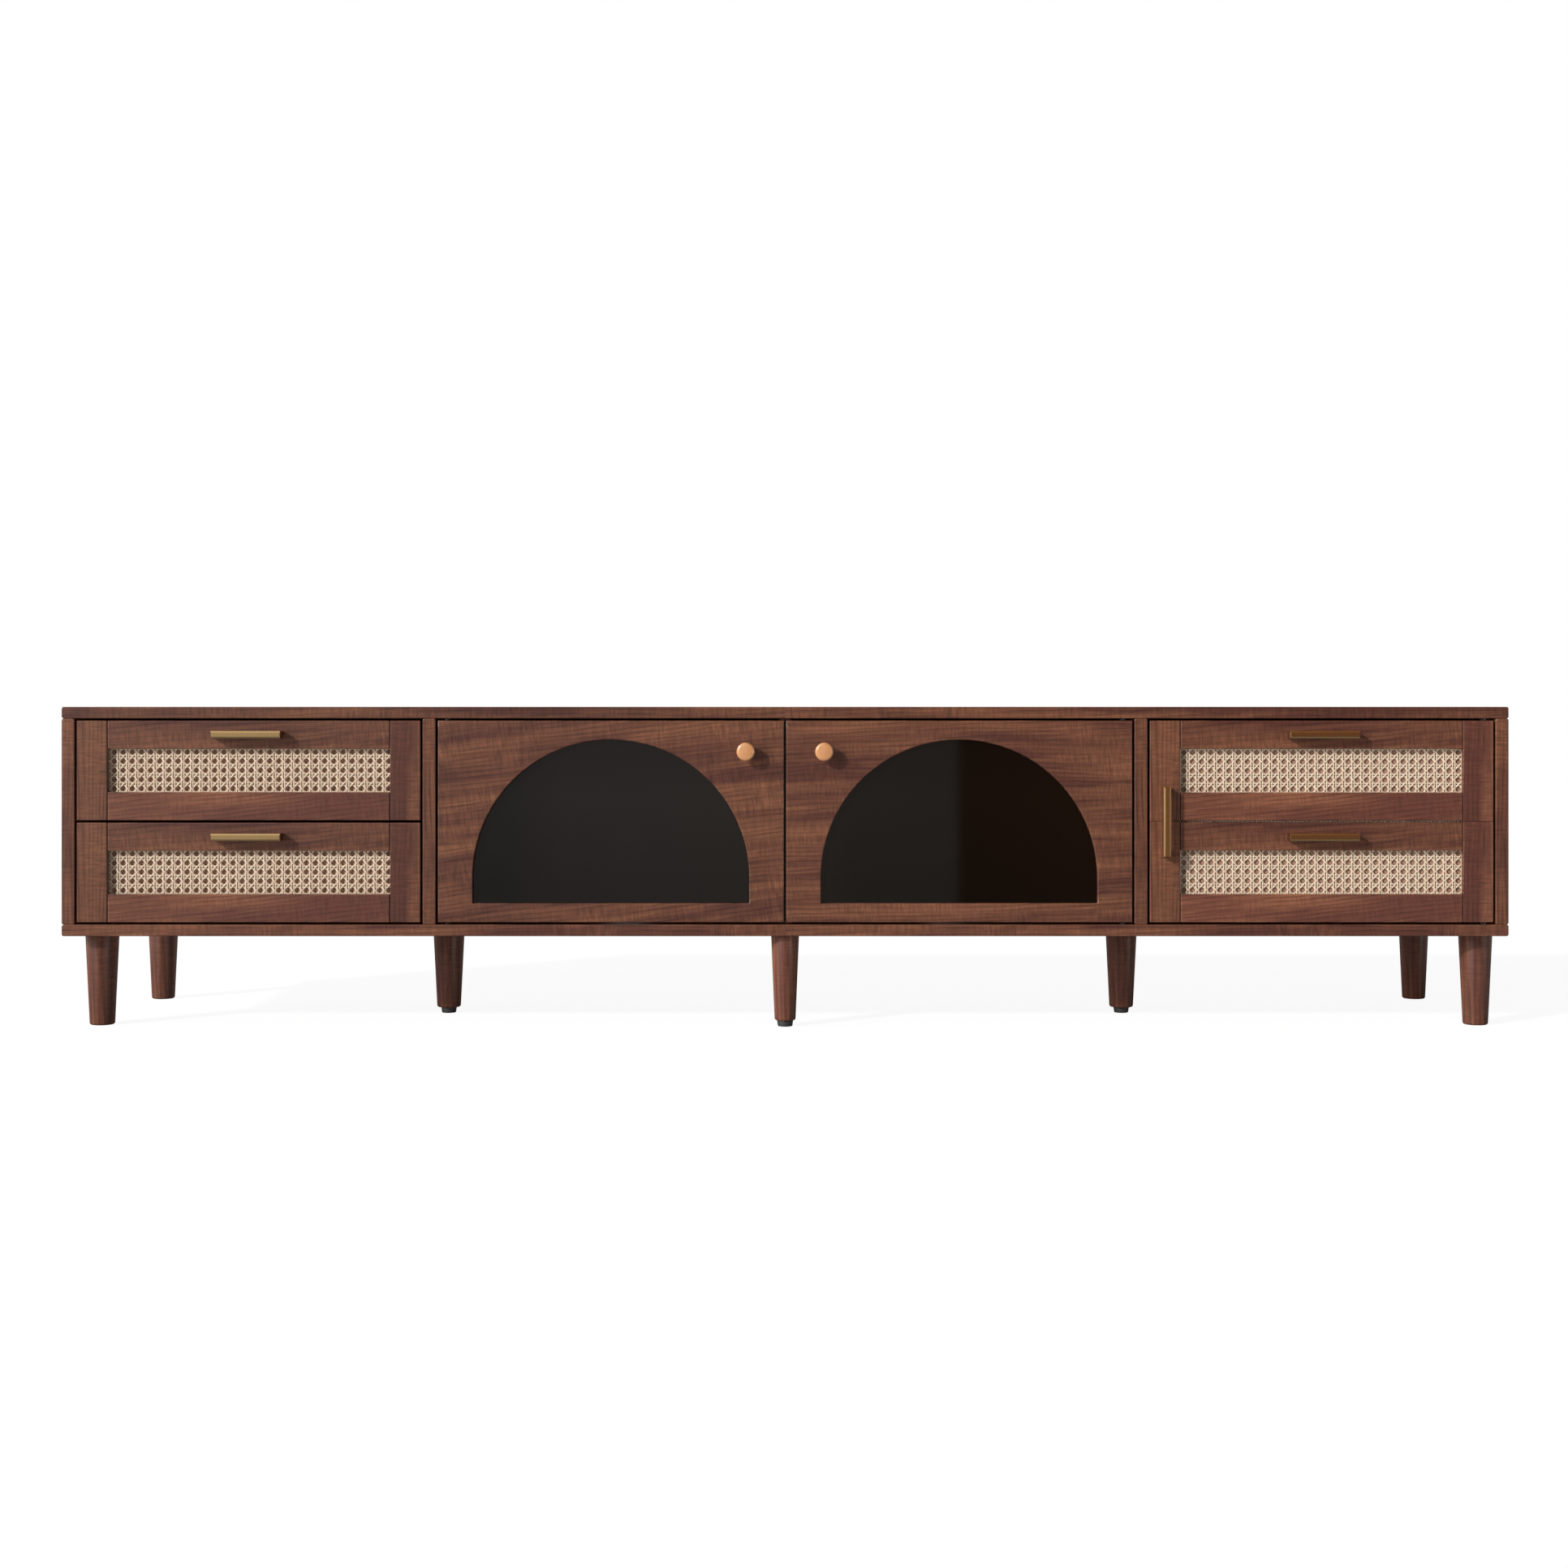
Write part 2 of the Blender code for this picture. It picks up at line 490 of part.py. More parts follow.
def make_drawer(name, front_z, finishes):
    """A drawer box hung on two runners in the grooves of its sides, with a cane front and a handle."""
    walnut = finishes["walnut"]
    front_x = inset(LEFT_BAY_X, REVEAL)
    slide = carrier_at(f"{name}_slide", (middle(front_x), FRONT_Y, middle(front_z)))
    opening = (inset(front_x, STILE_WIDTH), inset(front_z, RAIL_HEIGHT))
    make_cane_front(f"{name}_front", front_x, front_z, [opening], finishes, slide)
    handle_z = front_z[1] - RAIL_HEIGHT / 2
    make_handle(f"{name}_handle", middle(front_x), handle_z, finishes["brass"], slide)

    box_x = inset(LEFT_BAY_X, BOX_SIDE_GAP)
    box_y = (DOOR_BACK_Y + SEAT_GAP, INSIDE_Y[1] - BOX_BACK_SPACE)
    box_z = (front_z[0] + BOX_BOTTOM_MARGIN, front_z[1] - BOX_TOP_MARGIN)
    inner_x = inset(box_x, BOX_SIDE_THICKNESS)
    floor_z = (box_z[0] + BOX_BOTTOM_RAISE, box_z[0] + BOX_BOTTOM_RAISE + BOX_BOTTOM_THICKNESS)
    groove_z = (middle(box_z) - RUNNER_GROOVE_HEIGHT / 2, middle(box_z) + RUNNER_GROOVE_HEIGHT / 2)
    runner_z = (groove_z[0] + RUNNER_CLEARANCE, groove_z[1] - SEAT_GAP)
    runner_y = (DOOR_BACK_Y + RUNNER_CLEARANCE, box_y[1] - RUNNER_BACK_SPACE)
    through_y = inset(box_y, -CUT_MARGIN)

    def swapped(span):
        return sum(box_x) - span[1], sum(box_x) - span[0]

    for side in ("left", "right"):
        half = (lambda span: span) if side == "left" else swapped
        panel = board(f"{name}_side_{side}", half((box_x[0], inner_x[0])), box_y, box_z, walnut, slide)
        groove_x = half((box_x[0] - CUT_MARGIN, box_x[0] + RUNNER_GROOVE_DEPTH))
        box_cut(panel, "runner_groove", groove_x, through_y, groove_z)
        slot_x = half((inner_x[0] - BOTTOM_GROOVE_DEPTH, inner_x[0] + CUT_MARGIN))
        box_cut(panel, "bottom_groove", slot_x, through_y, inset(floor_z, -SEAT_GAP))
        runner_x = half((LEFT_BAY_X[0] + SEAT_GAP, box_x[0] + RUNNER_GROOVE_DEPTH - RUNNER_CLEARANCE))
        board(f"{name}_runner_{side}", runner_x, runner_y, runner_z, finishes["beech"])
    floor_x = inset(inner_x, SEAT_GAP - BOTTOM_GROOVE_DEPTH)
    board(f"{name}_bottom", floor_x, box_y, floor_z, walnut, slide, ease=0)
    back_y = (box_y[1] - BOX_BACK_THICKNESS, box_y[1])
    back_z = (floor_z[1] + SEAT_GAP, box_z[1])
    board(f"{name}_back", inset(inner_x, SEAT_GAP), back_y, back_z, walnut, slide)


def arch_outline(x, z, shoulder):
    """A window with straight sides up to its shoulder and a half ellipse above, from the lower left."""
    centre = middle(x)
    half_width = (x[1] - x[0]) / 2
    spring = z[0] + shoulder
    rise = z[1] - spring
    angles = [math.pi * i / ARCH_STEPS for i in range(ARCH_STEPS + 1)]
    crown = [(centre + half_width * math.cos(a), spring + rise * math.sin(a)) for a in angles]
    return [(x[0], z[0]), (x[1], z[0]), *crown]


def make_glass_door(side, x, finishes):
    """A one-piece door with an arched window, glass let into its back, hung on pins at its outer edge."""
    name = f"door_{side}"
    left = side == "left"
    pivot_x = LEFT_PIVOT_X if left else RIGHT_PIVOT_X
    hinge = carrier_at(f"{name}_hinge", (pivot_x, PIVOT_Y, DOOR_Z[0]))
    panel = board(f"{name}_panel", x, (FRONT_Y, DOOR_BACK_Y), DOOR_Z, finishes["walnut"], hinge)
    window_x = inset(x, ARCH_SIDE_MARGIN)
    window_z = inset(DOOR_Z, ARCH_END_MARGIN)
    through = FRONT_THICKNESS + 2 * CUT_MARGIN
    window = arch_outline(window_x, window_z, ARCH_SHOULDER)
    cut(panel, slab(f"{name}_window", window, through, (0, FRONT_Y - CUT_MARGIN, 0), None, hinge))
    rebate_shoulder = ARCH_SHOULDER + GLASS_REBATE
    rebate = arch_outline(inset(window_x, -GLASS_REBATE), inset(window_z, -GLASS_REBATE), rebate_shoulder)
    cut(panel, slab(f"{name}_rebate", rebate, through, (0, FRONT_Y + GLASS_SETBACK, 0), None, hinge))
    bore_for_pivots(panel, pivot_x)
    border = SEAT_GAP - GLASS_REBATE
    pane = arch_outline(inset(window_x, border), inset(window_z, border), ARCH_SHOULDER - border)
    glass_y = FRONT_Y + GLASS_SETBACK + SEAT_GAP
    slab(f"{name}_glass", pane, GLASS_THICKNESS, (0, glass_y, 0), finishes["glass"], hinge)
    make_pivots(name, pivot_x, finishes["steel"])

    knob_x = x[1] - KNOB_EDGE_DISTANCE if left else x[0] + KNOB_EDGE_DISTANCE
    cap_radius = KNOB_DIAMETER / 2
    stem_radius = KNOB_STEM_DIAMETER / 2
    cap_base = KNOB_PROJECTION - KNOB_CAP_THICKNESS
    profile = [(0, SEAT_GAP), (stem_radius, SEAT_GAP), (stem_radius, cap_base)]
    profile += arc((cap_radius - KNOB_EASE, cap_base + KNOB_EASE), KNOB_EASE, -90, 0)
    profile += arc((cap_radius - KNOB_EASE, KNOB_PROJECTION - KNOB_EASE), KNOB_EASE, 0, 90)
    profile += [(0, KNOB_PROJECTION)]
    place = (knob_x, FRONT_Y, DOOR_Z[1] - KNOB_TOP_DISTANCE)
    turned(f"{name}_knob", profile, place, finishes["knob"], hinge, (math.pi / 2, 0, 0))


def make_side_door(finishes):
    """The right-hand door, framed to look like two drawers, with an upright pull and two fixed handles."""
    hinge = carrier_at("side_door_hinge", (SIDE_PIVOT_X, PIVOT_Y, DOOR_Z[0]))
    across = inset(SIDE_DOOR_X, STILE_WIDTH)
    lower = (across, inset(LOWER_FRONT_Z, RAIL_HEIGHT))
    slot = (across, (LOWER_FRONT_Z[1], UPPER_FRONT_Z[0]))
    upper = (across, inset(UPPER_FRONT_Z, RAIL_HEIGHT))
    frame = make_cane_front("side_door", SIDE_DOOR_X, DOOR_Z, [lower, slot, upper], finishes, hinge)
    bore_for_pivots(frame, SIDE_PIVOT_X)
    make_pivots("side_door", SIDE_PIVOT_X, finishes["steel"])
    for level, front_z in (("upper", UPPER_FRONT_Z), ("lower", LOWER_FRONT_Z)):
        handle_z = front_z[1] - RAIL_HEIGHT / 2
        make_handle(f"side_door_handle_{level}", middle(SIDE_DOOR_X), handle_z, finishes["brass"], hinge)
    pull_x = SIDE_DOOR_X[0] + STILE_WIDTH / 2
    make_handle("side_door_pull", pull_x, middle(DOOR_Z), finishes["brass"], hinge, upright=True)


for old in list(bpy.data.objects):
    bpy.data.objects.remove(old)

FINISHES = {
    "walnut": finish("walnut_veneer", "6E4A3B", 0.45),
    "beech": finish("waxed_beech", "B08A63", 0.5),
    "cane": finish("woven_cane", "C8AE88", 0.6),
    "brass": finish("satin_brass", "B6965F", 0.3, metallic=1.0),
    "knob": finish("apricot_lacquer", "D09668", 0.3),
    "glass": finish("tinted_glass", "262321", 0.05, transmission=0.6),
    "steel": finish("blackened_steel", "2E2C2A", 0.45, metallic=1.0),
    "black": finish("black_nylon", "363333", 0.55),
}
make_carcass(FINISHES["walnut"], "left")
make_carcass(FINISHES["walnut"], "right")
make_centre_divider(FINISHES["walnut"])
make_legs(FINISHES["walnut"], FINISHES["steel"], FINISHES["black"])
make_drawer("drawer_upper", UPPER_FRONT_Z, FINISHES)
make_drawer("drawer_lower", LOWER_FRONT_Z, FINISHES)
make_glass_door("left", LEFT_DOOR_X, FINISHES)
make_glass_door("right", RIGHT_DOOR_X, FINISHES)
make_side_door(FINISHES)
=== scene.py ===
"""A low media console in walnut veneer, with cane fronts, arched doors of tinted glass and brass pulls."""
import math
import bmesh
import bpy
from mathutils import Matrix, Vector


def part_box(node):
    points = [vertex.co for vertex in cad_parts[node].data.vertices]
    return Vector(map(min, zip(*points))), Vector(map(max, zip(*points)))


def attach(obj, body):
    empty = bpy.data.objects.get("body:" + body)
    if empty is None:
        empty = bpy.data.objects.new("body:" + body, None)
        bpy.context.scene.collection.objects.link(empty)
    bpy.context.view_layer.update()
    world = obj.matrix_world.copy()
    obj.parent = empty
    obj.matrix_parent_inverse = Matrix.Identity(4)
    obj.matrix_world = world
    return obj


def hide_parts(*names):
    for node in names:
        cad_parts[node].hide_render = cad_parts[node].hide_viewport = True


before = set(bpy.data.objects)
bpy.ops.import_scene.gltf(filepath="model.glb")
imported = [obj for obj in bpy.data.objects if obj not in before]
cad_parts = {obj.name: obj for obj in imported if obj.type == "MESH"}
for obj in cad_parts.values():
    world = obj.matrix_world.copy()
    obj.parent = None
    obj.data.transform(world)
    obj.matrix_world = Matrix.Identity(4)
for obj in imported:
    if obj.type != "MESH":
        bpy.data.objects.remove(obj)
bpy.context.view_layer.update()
scene = bpy.context.scene
scene.view_settings.view_transform = "Standard"


# Camera: straight on and level, just below the height of the top board, with a 50 mm lens on a full-frame
# sensor. It stands three metres in front of the fronts, with its frame shifted to what the photograph shows.
FRONT_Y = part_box("door_left_panel")[0].y
CAMERA_DISTANCE = 3.009
CAMERA_HEIGHT = 0.409
camera = bpy.data.objects.new("camera", bpy.data.cameras.new("camera"))
camera.data.lens = 50
camera.data.sensor_width = 36
camera.data.shift_x = -0.0007
camera.data.shift_y = -0.0326
camera.location = (0, FRONT_Y - CAMERA_DISTANCE, CAMERA_HEIGHT)
camera.rotation_euler = (math.pi / 2, 0, 0)
scene.collection.objects.link(camera)
scene.camera = camera


# Carcass: veneered boards of 16 and 18 mm, glued and dowelled, the top and the bottom in two halves that
# butt at the centre. Their long edges are eased and their ends are rounded over more, which leaves a small
# notch at each corner where a side board meets the top or the bottom.
MM = 0.001
EDGE_ROUND = 1.3 * MM
END_ROUND = 2.8 * MM
SEAM_ROUND = 0.5 * MM
SEAT = 0.3 * MM
EDGE_STEPS = 4
SHARP_ANGLE = math.radians(60)
WHITE = (1, 1, 1, 1)


def linear(hex_colour):
    """A six-digit sRGB hex colour as linear red, green, blue and alpha."""
    channels = [int(hex_colour[i : i + 2], 16) / 255 for i in (0, 2, 4)]
    lit = [c / 12.92 if c <= 0.04045 else ((c + 0.055) / 1.055) ** 2.4 for c in channels]
    return (*lit, 1.0)


def add_node(owner, kind, inputs=None, output=0, **settings):
    """Adds one node to a material or the world and gives one of its outputs.

    Inputs are values, or outputs of other nodes to link. A colour Mix takes its share at 0 and its two
    colours at 6 and 7, and gives the mixed colour at output 2. A Map Range takes its two ranges at 1 to 4.
    """
    tree = owner.node_tree
    made = tree.nodes.new(kind)
    for name, value in settings.items():
        setattr(made, name, value)
    for socket, value in (inputs or {}).items():
        if isinstance(value, bpy.types.NodeSocket):
            tree.links.new(value, made.inputs[socket])
        else:
            made.inputs[socket].default_value = value
    return made.outputs[output] if made.outputs else None


def new_material(name):
    """A material with no nodes yet."""
    material = bpy.data.materials.new(name)
    material.use_nodes = True
    material.node_tree.nodes.clear()
    return material


def grain_scale(along, across):
    """The scale of a pattern whose cells are this long along X and this wide across it, in millimetres."""
    return (1 / (along * MM), 1 / (across * MM), 1 / (across * MM))


# Walnut veneer under satin lacquer: purple-brown and orange-brown streaks along the grain, a faint curl
# across it, and open pores. Real pores are too fine to show, so they are drawn about four times as wide.
GRAIN_TURN = {"X": (0, 0, 0), "Y": (0, 0, -math.pi / 2), "Z": (0, math.pi / 2, 0)}
LOG_STEP = Vector((1.37, 0.83, 0.59))
BEND_SIZE = (260, 60)
BEND_AMOUNT = 14 * MM
RING_SPACING = 6.5 * MM
FIBRE_RELIEF = 0.05 * MM
WALNUT_DARK = "502D24"
WALNUT_MIDDLE = "653E2E"
WALNUT_LIGHT = "794D37"
# Each layer's length along the grain and width across it in mm, and its detail.
WALNUT_LAYERS = {
    "band": (420, 48, 1),
    "streak": (120, 9, 3),
    "curl": (2.8, 20, 1),
    "patch": (80, 38, 1),
    "fibre": (38, 1.3, 2),
    "pore": (8, 0.8, 1),
}


def walnut(name, grain, seed, lean=0.0, tone=1.0, gloss=0.4, coat=0.2):
    """Walnut with its grain along an axis, turned by lean in radians. Seed picks a place in the log."""
    material = new_material(name)
    place = add_node(material, "ShaderNodeTexCoord", output="Object")
    turn = Vector(GRAIN_TURN[grain]) + Vector((0, lean, 0))
    along = {"Vector": place, "Rotation": turn, "Location": LOG_STEP * seed}
    along = add_node(material, "ShaderNodeMapping", along)

    # The grain wanders slowly from side to side, and all the layers follow it.
    bend = {0: along, 1: grain_scale(*BEND_SIZE)}
    bend = add_node(material, "ShaderNodeVectorMath", bend, operation="MULTIPLY")
    bend = {"Vector": bend, "Scale": 1.0, "Detail": 2, "Roughness": 0.55}
    bend = add_node(material, "ShaderNodeTexNoise", bend, output="Color")
    bend = add_node(material, "ShaderNodeVectorMath", {0: bend, 1: (0.5, 0.5, 0.5)}, operation="SUBTRACT")
    wavy = {0: bend, 1: (0, BEND_AMOUNT, BEND_AMOUNT), 2: along}
    wavy = add_node(material, "ShaderNodeVectorMath", wavy, operation="MULTIPLY_ADD")
    layer = {}
    for part, (length, width, detail) in WALNUT_LAYERS.items():
        cells = {0: wavy, 1: grain_scale(length, width)}
        cells = add_node(material, "ShaderNodeVectorMath", cells, operation="MULTIPLY")
        cells = {"Vector": cells, "Scale": 1.0, "Detail": detail, "Roughness": 0.55}
        layer[part] = add_node(material, "ShaderNodeTexNoise", cells)

    # Growth rings are a sine of the height, pushed about by the bands and streaks.
    height = add_node(material, "ShaderNodeSeparateXYZ", {0: wavy}, output="Z")
    sums = {
        "ring_turns": ((layer["band"], 22), (height, math.tau / RING_SPACING), (layer["streak"], 5)),
        "figure": ((layer["streak"], 0.6), (layer["band"], 0.7)),
    }
    for part, terms in sums.items():
        layer[part] = 0.0
        for value, factor in terms:
            term = {0: value, 1: factor, 2: layer[part]}
            layer[part] = add_node(material, "ShaderNodeMath", term, operation="MULTIPLY_ADD")
    layer["ring"] = add_node(material, "ShaderNodeMath", {0: layer["ring_turns"]}, operation="SINE")

    # What is read from each layer: its range, and the values that the two ends of the range give.
    readings = {
        "to_middle": ("figure", 0.50, 0.68, 0.0, 1.0),
        "to_light": ("figure", 0.63, 0.82, 0.0, 1.0),
        "curl_depth": ("patch", 0.35, 0.65, 1.5, 0.7),
        "ring_share": ("patch", 0.3, 0.6, 0.0, 1.0),
        "ring_shade": ("ring", 0.2, 1.0, 1.06, 0.70),
        "fibre_shade": ("fibre", 0.25, 0.75, 0.86, 1.14),
        "pore_shade": ("pore", 0.60, 0.72, 1.0, 0.84),
        "pore_depth": ("pore", 0.58, 0.7, 1.0, 0.0),
        "roughness": ("fibre", 0.2, 0.8, 0.46, 0.36),
    }
    read = {}
    for use, (part, low, high, at_low, at_high) in readings.items():
        span = {"Value": layer[part], 1: low, 2: high, 3: at_low, 4: at_high}
        read[use] = add_node(material, "ShaderNodeMapRange", span, interpolation_type="SMOOTHSTEP")
    colour = linear(WALNUT_DARK)
    for share, tint in (("to_middle", WALNUT_MIDDLE), ("to_light", WALNUT_LIGHT)):
        colour = {0: read[share], 6: colour, 7: linear(tint)}
        colour = add_node(material, "ShaderNodeMix", colour, 2, data_type="RGBA")
    curl = add_node(material, "ShaderNodeMath", {0: layer["curl"], 1: 0.5}, operation="SUBTRACT")
    curl = {0: curl, 1: read["curl_depth"], 2: tone}
    curl = add_node(material, "ShaderNodeMath", curl, operation="MULTIPLY_ADD")
    rings = {0: read["ring_share"], 6: WHITE, 7: read["ring_shade"]}
    rings = add_node(material, "ShaderNodeMix", rings, 2, data_type="RGBA")
    for shade in (curl, rings, read["fibre_shade"], read["pore_shade"]):
        colour = {0: 1.0, 6: colour, 7: shade}
        colour = add_node(material, "ShaderNodeMix", colour, 2, data_type="RGBA", blend_type="MULTIPLY")
    relief = {0: layer["fibre"], 1: read["pore_depth"]}
    relief = add_node(material, "ShaderNodeMath", relief, operation="MULTIPLY")
    relief = {"Height": relief, "Strength": 0.5, "Distance": FIBRE_RELIEF}
    lacquer = {
        "Base Color": colour,
        "Roughness": read["roughness"],
        "Normal": add_node(material, "ShaderNodeBump", relief),
        "Specular IOR Level": gloss,
        "Coat Weight": coat,
        "Coat Roughness": 0.2,
    }
    shader = add_node(material, "ShaderNodeBsdfPrincipled", lacquer)
    add_node(material, "ShaderNodeOutputMaterial", {"Surface": shader})
    return material


def add_piece(name, mesh, place, material, body, slot, *nodes):
    """Puts a mesh in the scene as a piece that rides on a body and stands for the nodes that it replaces."""
    piece = bpy.data.objects.new(name, mesh)
    scene.collection.objects.link(piece)
    piece.location = place
    mesh.materials.append(material)
    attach(piece, body)
    if nodes:
        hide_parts(*nodes)
    return piece


def mesh_of(name, shape, sharp_angle=None):
    """A smooth-shaded mesh from a bmesh; edges sharper than the angle, if one is given, stay sharp."""
    bmesh.ops.recalc_face_normals(shape, faces=shape.faces)
    mesh = bpy.data.meshes.new(name)
    shape.to_mesh(mesh)
    shape.free()
    mesh.shade_smooth()
    if sharp_angle:
        mesh.set_sharp_from_angle(angle=sharp_angle)
    return mesh


def keep_flat(piece):
    """Large flat faces set the normals, so that rounded edges shade smoothly into them."""
    modifier = piece.modifiers.new("flat faces", "WEIGHTED_NORMAL")
    modifier.keep_sharp = True
    modifier.weight = 100
    return piece


def box_shape(size):
    """A box from its low corner."""
    shape = bmesh.new()
    bmesh.ops.create_cube(shape, size=1, matrix=Matrix.Translation((0.5, 0.5, 0.5)))
    bmesh.ops.scale(shape, vec=size, verts=shape.verts)
    return shape


def round_edges(shape, edges, radius):
    """Rounds some edges over."""
    bmesh.ops.bevel(shape, geom=edges, offset=radius, segments=EDGE_STEPS, profile=0.5, affect="EDGES")


def at_seam(edge, seam_x):
    """Whether an edge lies in the face at the seam."""
    return seam_x is not None and all(abs(v.co.x - seam_x) < MM / 10 for v in edge.verts)


def round_ends(shape, depth, seam_x=None):
    """Rounds the edges that run from front to back, except at a seam, and eases the other sharp edges."""
    ends = [e for e in shape.edges if abs(e.verts[0].co.y - e.verts[1].co.y) > depth / 2]
    round_edges(shape, [e for e in ends if not at_seam(e, seam_x)], END_ROUND)
    sharp = [e for e in shape.edges if e.calc_face_angle() > SHARP_ANGLE]
    round_edges(shape, [e for e in sharp if not at_seam(e, seam_x)], EDGE_ROUND)


def board_mesh(name, size, edge_round):
    """A board from its low corner, with all of its edges rounded alike."""
    shape = box_shape(size)
    round_edges(shape, list(shape.edges), edge_round)
    return mesh_of(name, shape)


def cut(piece, shape, place):
    """Takes a shape, at a place in the frame's own coordinates, out of a piece."""
    cutter = bpy.data.objects.new("cutter", mesh_of("cutter", shape))
    scene.collection.objects.link(cutter)
    cutter.location = place
    modifier = piece.modifiers.new("cut", "BOOLEAN")
    modifier.object = cutter
    modifier.operation = "DIFFERENCE"
    bpy.context.view_layer.update()
    mesh = bpy.data.meshes.new_from_object(piece.evaluated_get(bpy.context.evaluated_depsgraph_get()))
    piece.modifiers.remove(modifier)
    piece.data = mesh
    bpy.data.objects.remove(cutter)


def cut_box(piece, low, high):
    """Takes a box out of a piece."""
    cut(piece, box_shape(Vector(high) - Vector(low)), low)


def board(name, node, material):
    """An upright board in the place of a CAD board, tight against the boards above and below it."""
    low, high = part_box(node)
    low.z -= SEAT
    high.z += SEAT
    shape = box_shape(high - low)
    round_ends(shape, high.y - low.y)
    return keep_flat(add_piece(name, mesh_of(name, shape), low, material, "carcass", "walnut", node))


def half_board(name, node, material):
    """One half of the top or the bottom, which reaches the middle and is less rounded there."""
    low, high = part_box(node)
    if low.x < 0:
        high.x = 0
    else:
        low.x = 0
    shape = box_shape(high - low)
    seam_x = high.x - low.x if low.x < 0 else 0
    round_ends(shape, high.y - low.y, seam_x)
    round_edges(shape, [e for e in shape.edges if at_seam(e, seam_x)], SEAM_ROUND)
    return keep_flat(add_piece(name, mesh_of(name, shape), low, material, "carcass", "walnut", node))


top_walnut = {
    "left": walnut("walnut_veneer_top_left", "X", 1.0, lean=0.02, tone=0.94),
    "right": walnut("walnut_veneer_top_right", "X", 1.6, lean=0.02, tone=1.06),
}
bottom_walnut = walnut("walnut_veneer_bottom", "X", 2.3, lean=0.02, tone=1.18)
side_walnut = walnut("walnut_veneer_side", "Z", 3.1, tone=1.04)
divider_walnut = walnut("walnut_veneer_divider", "Z", 4.7, tone=0.98)
plate_low, plate_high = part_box("centre_leg_plate")
reach = Vector((SEAT, SEAT, SEAT))
for side in ("left", "right"):
    half_board(f"top_board_{side}", f"top_panel_{side}", top_walnut[side])
    bottom = half_board(f"bottom_board_{side}", f"bottom_panel_{side}", bottom_walnut)
    cut_box(bottom, plate_low - reach - Vector((0, 0, EDGE_ROUND)), plate_high + reach)
    board(f"divider_board_{side}", f"divider_{side}", divider_walnut)
    side_board = board(f"side_board_{side}", f"side_panel_{side}", side_walnut)
    back_low, back_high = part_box(f"back_panel_{side}")
    cut_box(side_board, back_low - reach, back_high + reach)
board("divider_board_centre", "divider_centre", divider_walnut)


# Drawer fronts: two stiles with two rails between them, butted and glued, with a fine groove where their
# rounded edges meet. A rebate runs round the back of the opening and takes the cane and its backing board.
STILE_WIDTH = 42 * MM
RAIL_HEIGHT = 39 * MM
MEMBER_ROUND = 1.3 * MM
JOINT_GAP = 0.7 * MM
PANEL_REBATE = 8 * MM
CANE_SETBACK = 8 * MM
CUT_MARGIN = 4 * MM


def frame_walnut(front, tones):
    """The veneers of one front's left stile, right stile, top rails and bottom rails."""
    return {
        "stile_left": walnut(f"walnut_veneer_{front}_stile_left", "Z", 5.2, tone=tones[0]),
        "stile_right": walnut(f"walnut_veneer_{front}_stile_right", "Z", 6.4, tone=tones[1]),
        "rail_top": walnut(f"walnut_veneer_{front}_rail_top", "X", 7.9, lean=0.07, tone=tones[2]),
        "rail_bottom": walnut(f"walnut_veneer_{front}_rail_bottom", "X", 8.6, lean=0.10, tone=tones[3]),
    }


def frame_member(name, x, z, depth, material, body, rebate):
    """One stile or rail of a front, flush with it, with the panel's rebate cut out of its back."""
    low = Vector((x[0], FRONT_Y, z[0]))
    size = Vector((x[1] - x[0], depth, z[1] - z[0]))
    piece = add_piece(name, board_mesh(name, size, MEMBER_ROUND), low, material, body, "walnut")
    cut_box(piece, rebate[0], rebate[1])
    return keep_flat(piece)


drawer_walnut = frame_walnut("drawer", (0.90, 1.10, 1.03, 1.42))
for level in ("upper", "lower"):
    low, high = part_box(f"drawer_{level}_front_frame")
    inner_x = (low.x + STILE_WIDTH, high.x - STILE_WIDTH)
    inner_z = (low.z + RAIL_HEIGHT, high.z - RAIL_HEIGHT)
    rail_x = (inner_x[0] + JOINT_GAP, inner_x[1] - JOINT_GAP)
    rebate = (
        (inner_x[0] - PANEL_REBATE, FRONT_Y + CANE_SETBACK, inner_z[0] - PANEL_REBATE),
        (inner_x[1] + PANEL_REBATE, high.y + CUT_MARGIN, inner_z[1] + PANEL_REBATE),
    )
    members = {
        "stile_left": ((low.x, inner_x[0]), (low.z, high.z)),
        "stile_right": ((inner_x[1], high.x), (low.z, high.z)),
        "rail_top": (rail_x, (inner_z[1], high.z)),
        "rail_bottom": (rail_x, (low.z, inner_z[0])),
    }
    for member, (x, z) in members.items():
        name = f"drawer_{level}_{member}"
        veneer = drawer_walnut[member]
        piece = frame_member(name, x, z, high.y - low.y, veneer, f"{level}_drawer", rebate)
        if member == "stile_left":
            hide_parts(f"drawer_{level}_front_frame")


# Cane: strips of rattan skin in the seven-step weave, two upright and two level strands with a diagonal each
# way, on a half-inch pitch that leaves a round eye in each cell. The rising diagonals lie over the level
# strands, the falling ones over the upright strands. The sheet and a thin board behind it lie in the rebate.
CANE_PITCH = 12.7 * MM
STRAND_WIDTH = 2.0 * MM
DIAGONAL_WIDTH = 2.3 * MM
STRAND_THICKNESS = 0.55 * MM
PAIR_SPACING = 3.4 * MM
CROSSING_LIFT = 0.4 * MM
DIAGONAL_LIFT = 0.95 * MM
WEAVE_SETBACK = 0.25 * MM
# How much painted shade a level strand takes where it passes under the upright strands.
LEVEL_PAINTED_SHADE = 0.8
STEPS_PER_PITCH = 8
STRAND_SHARP_ANGLE = math.radians(50)
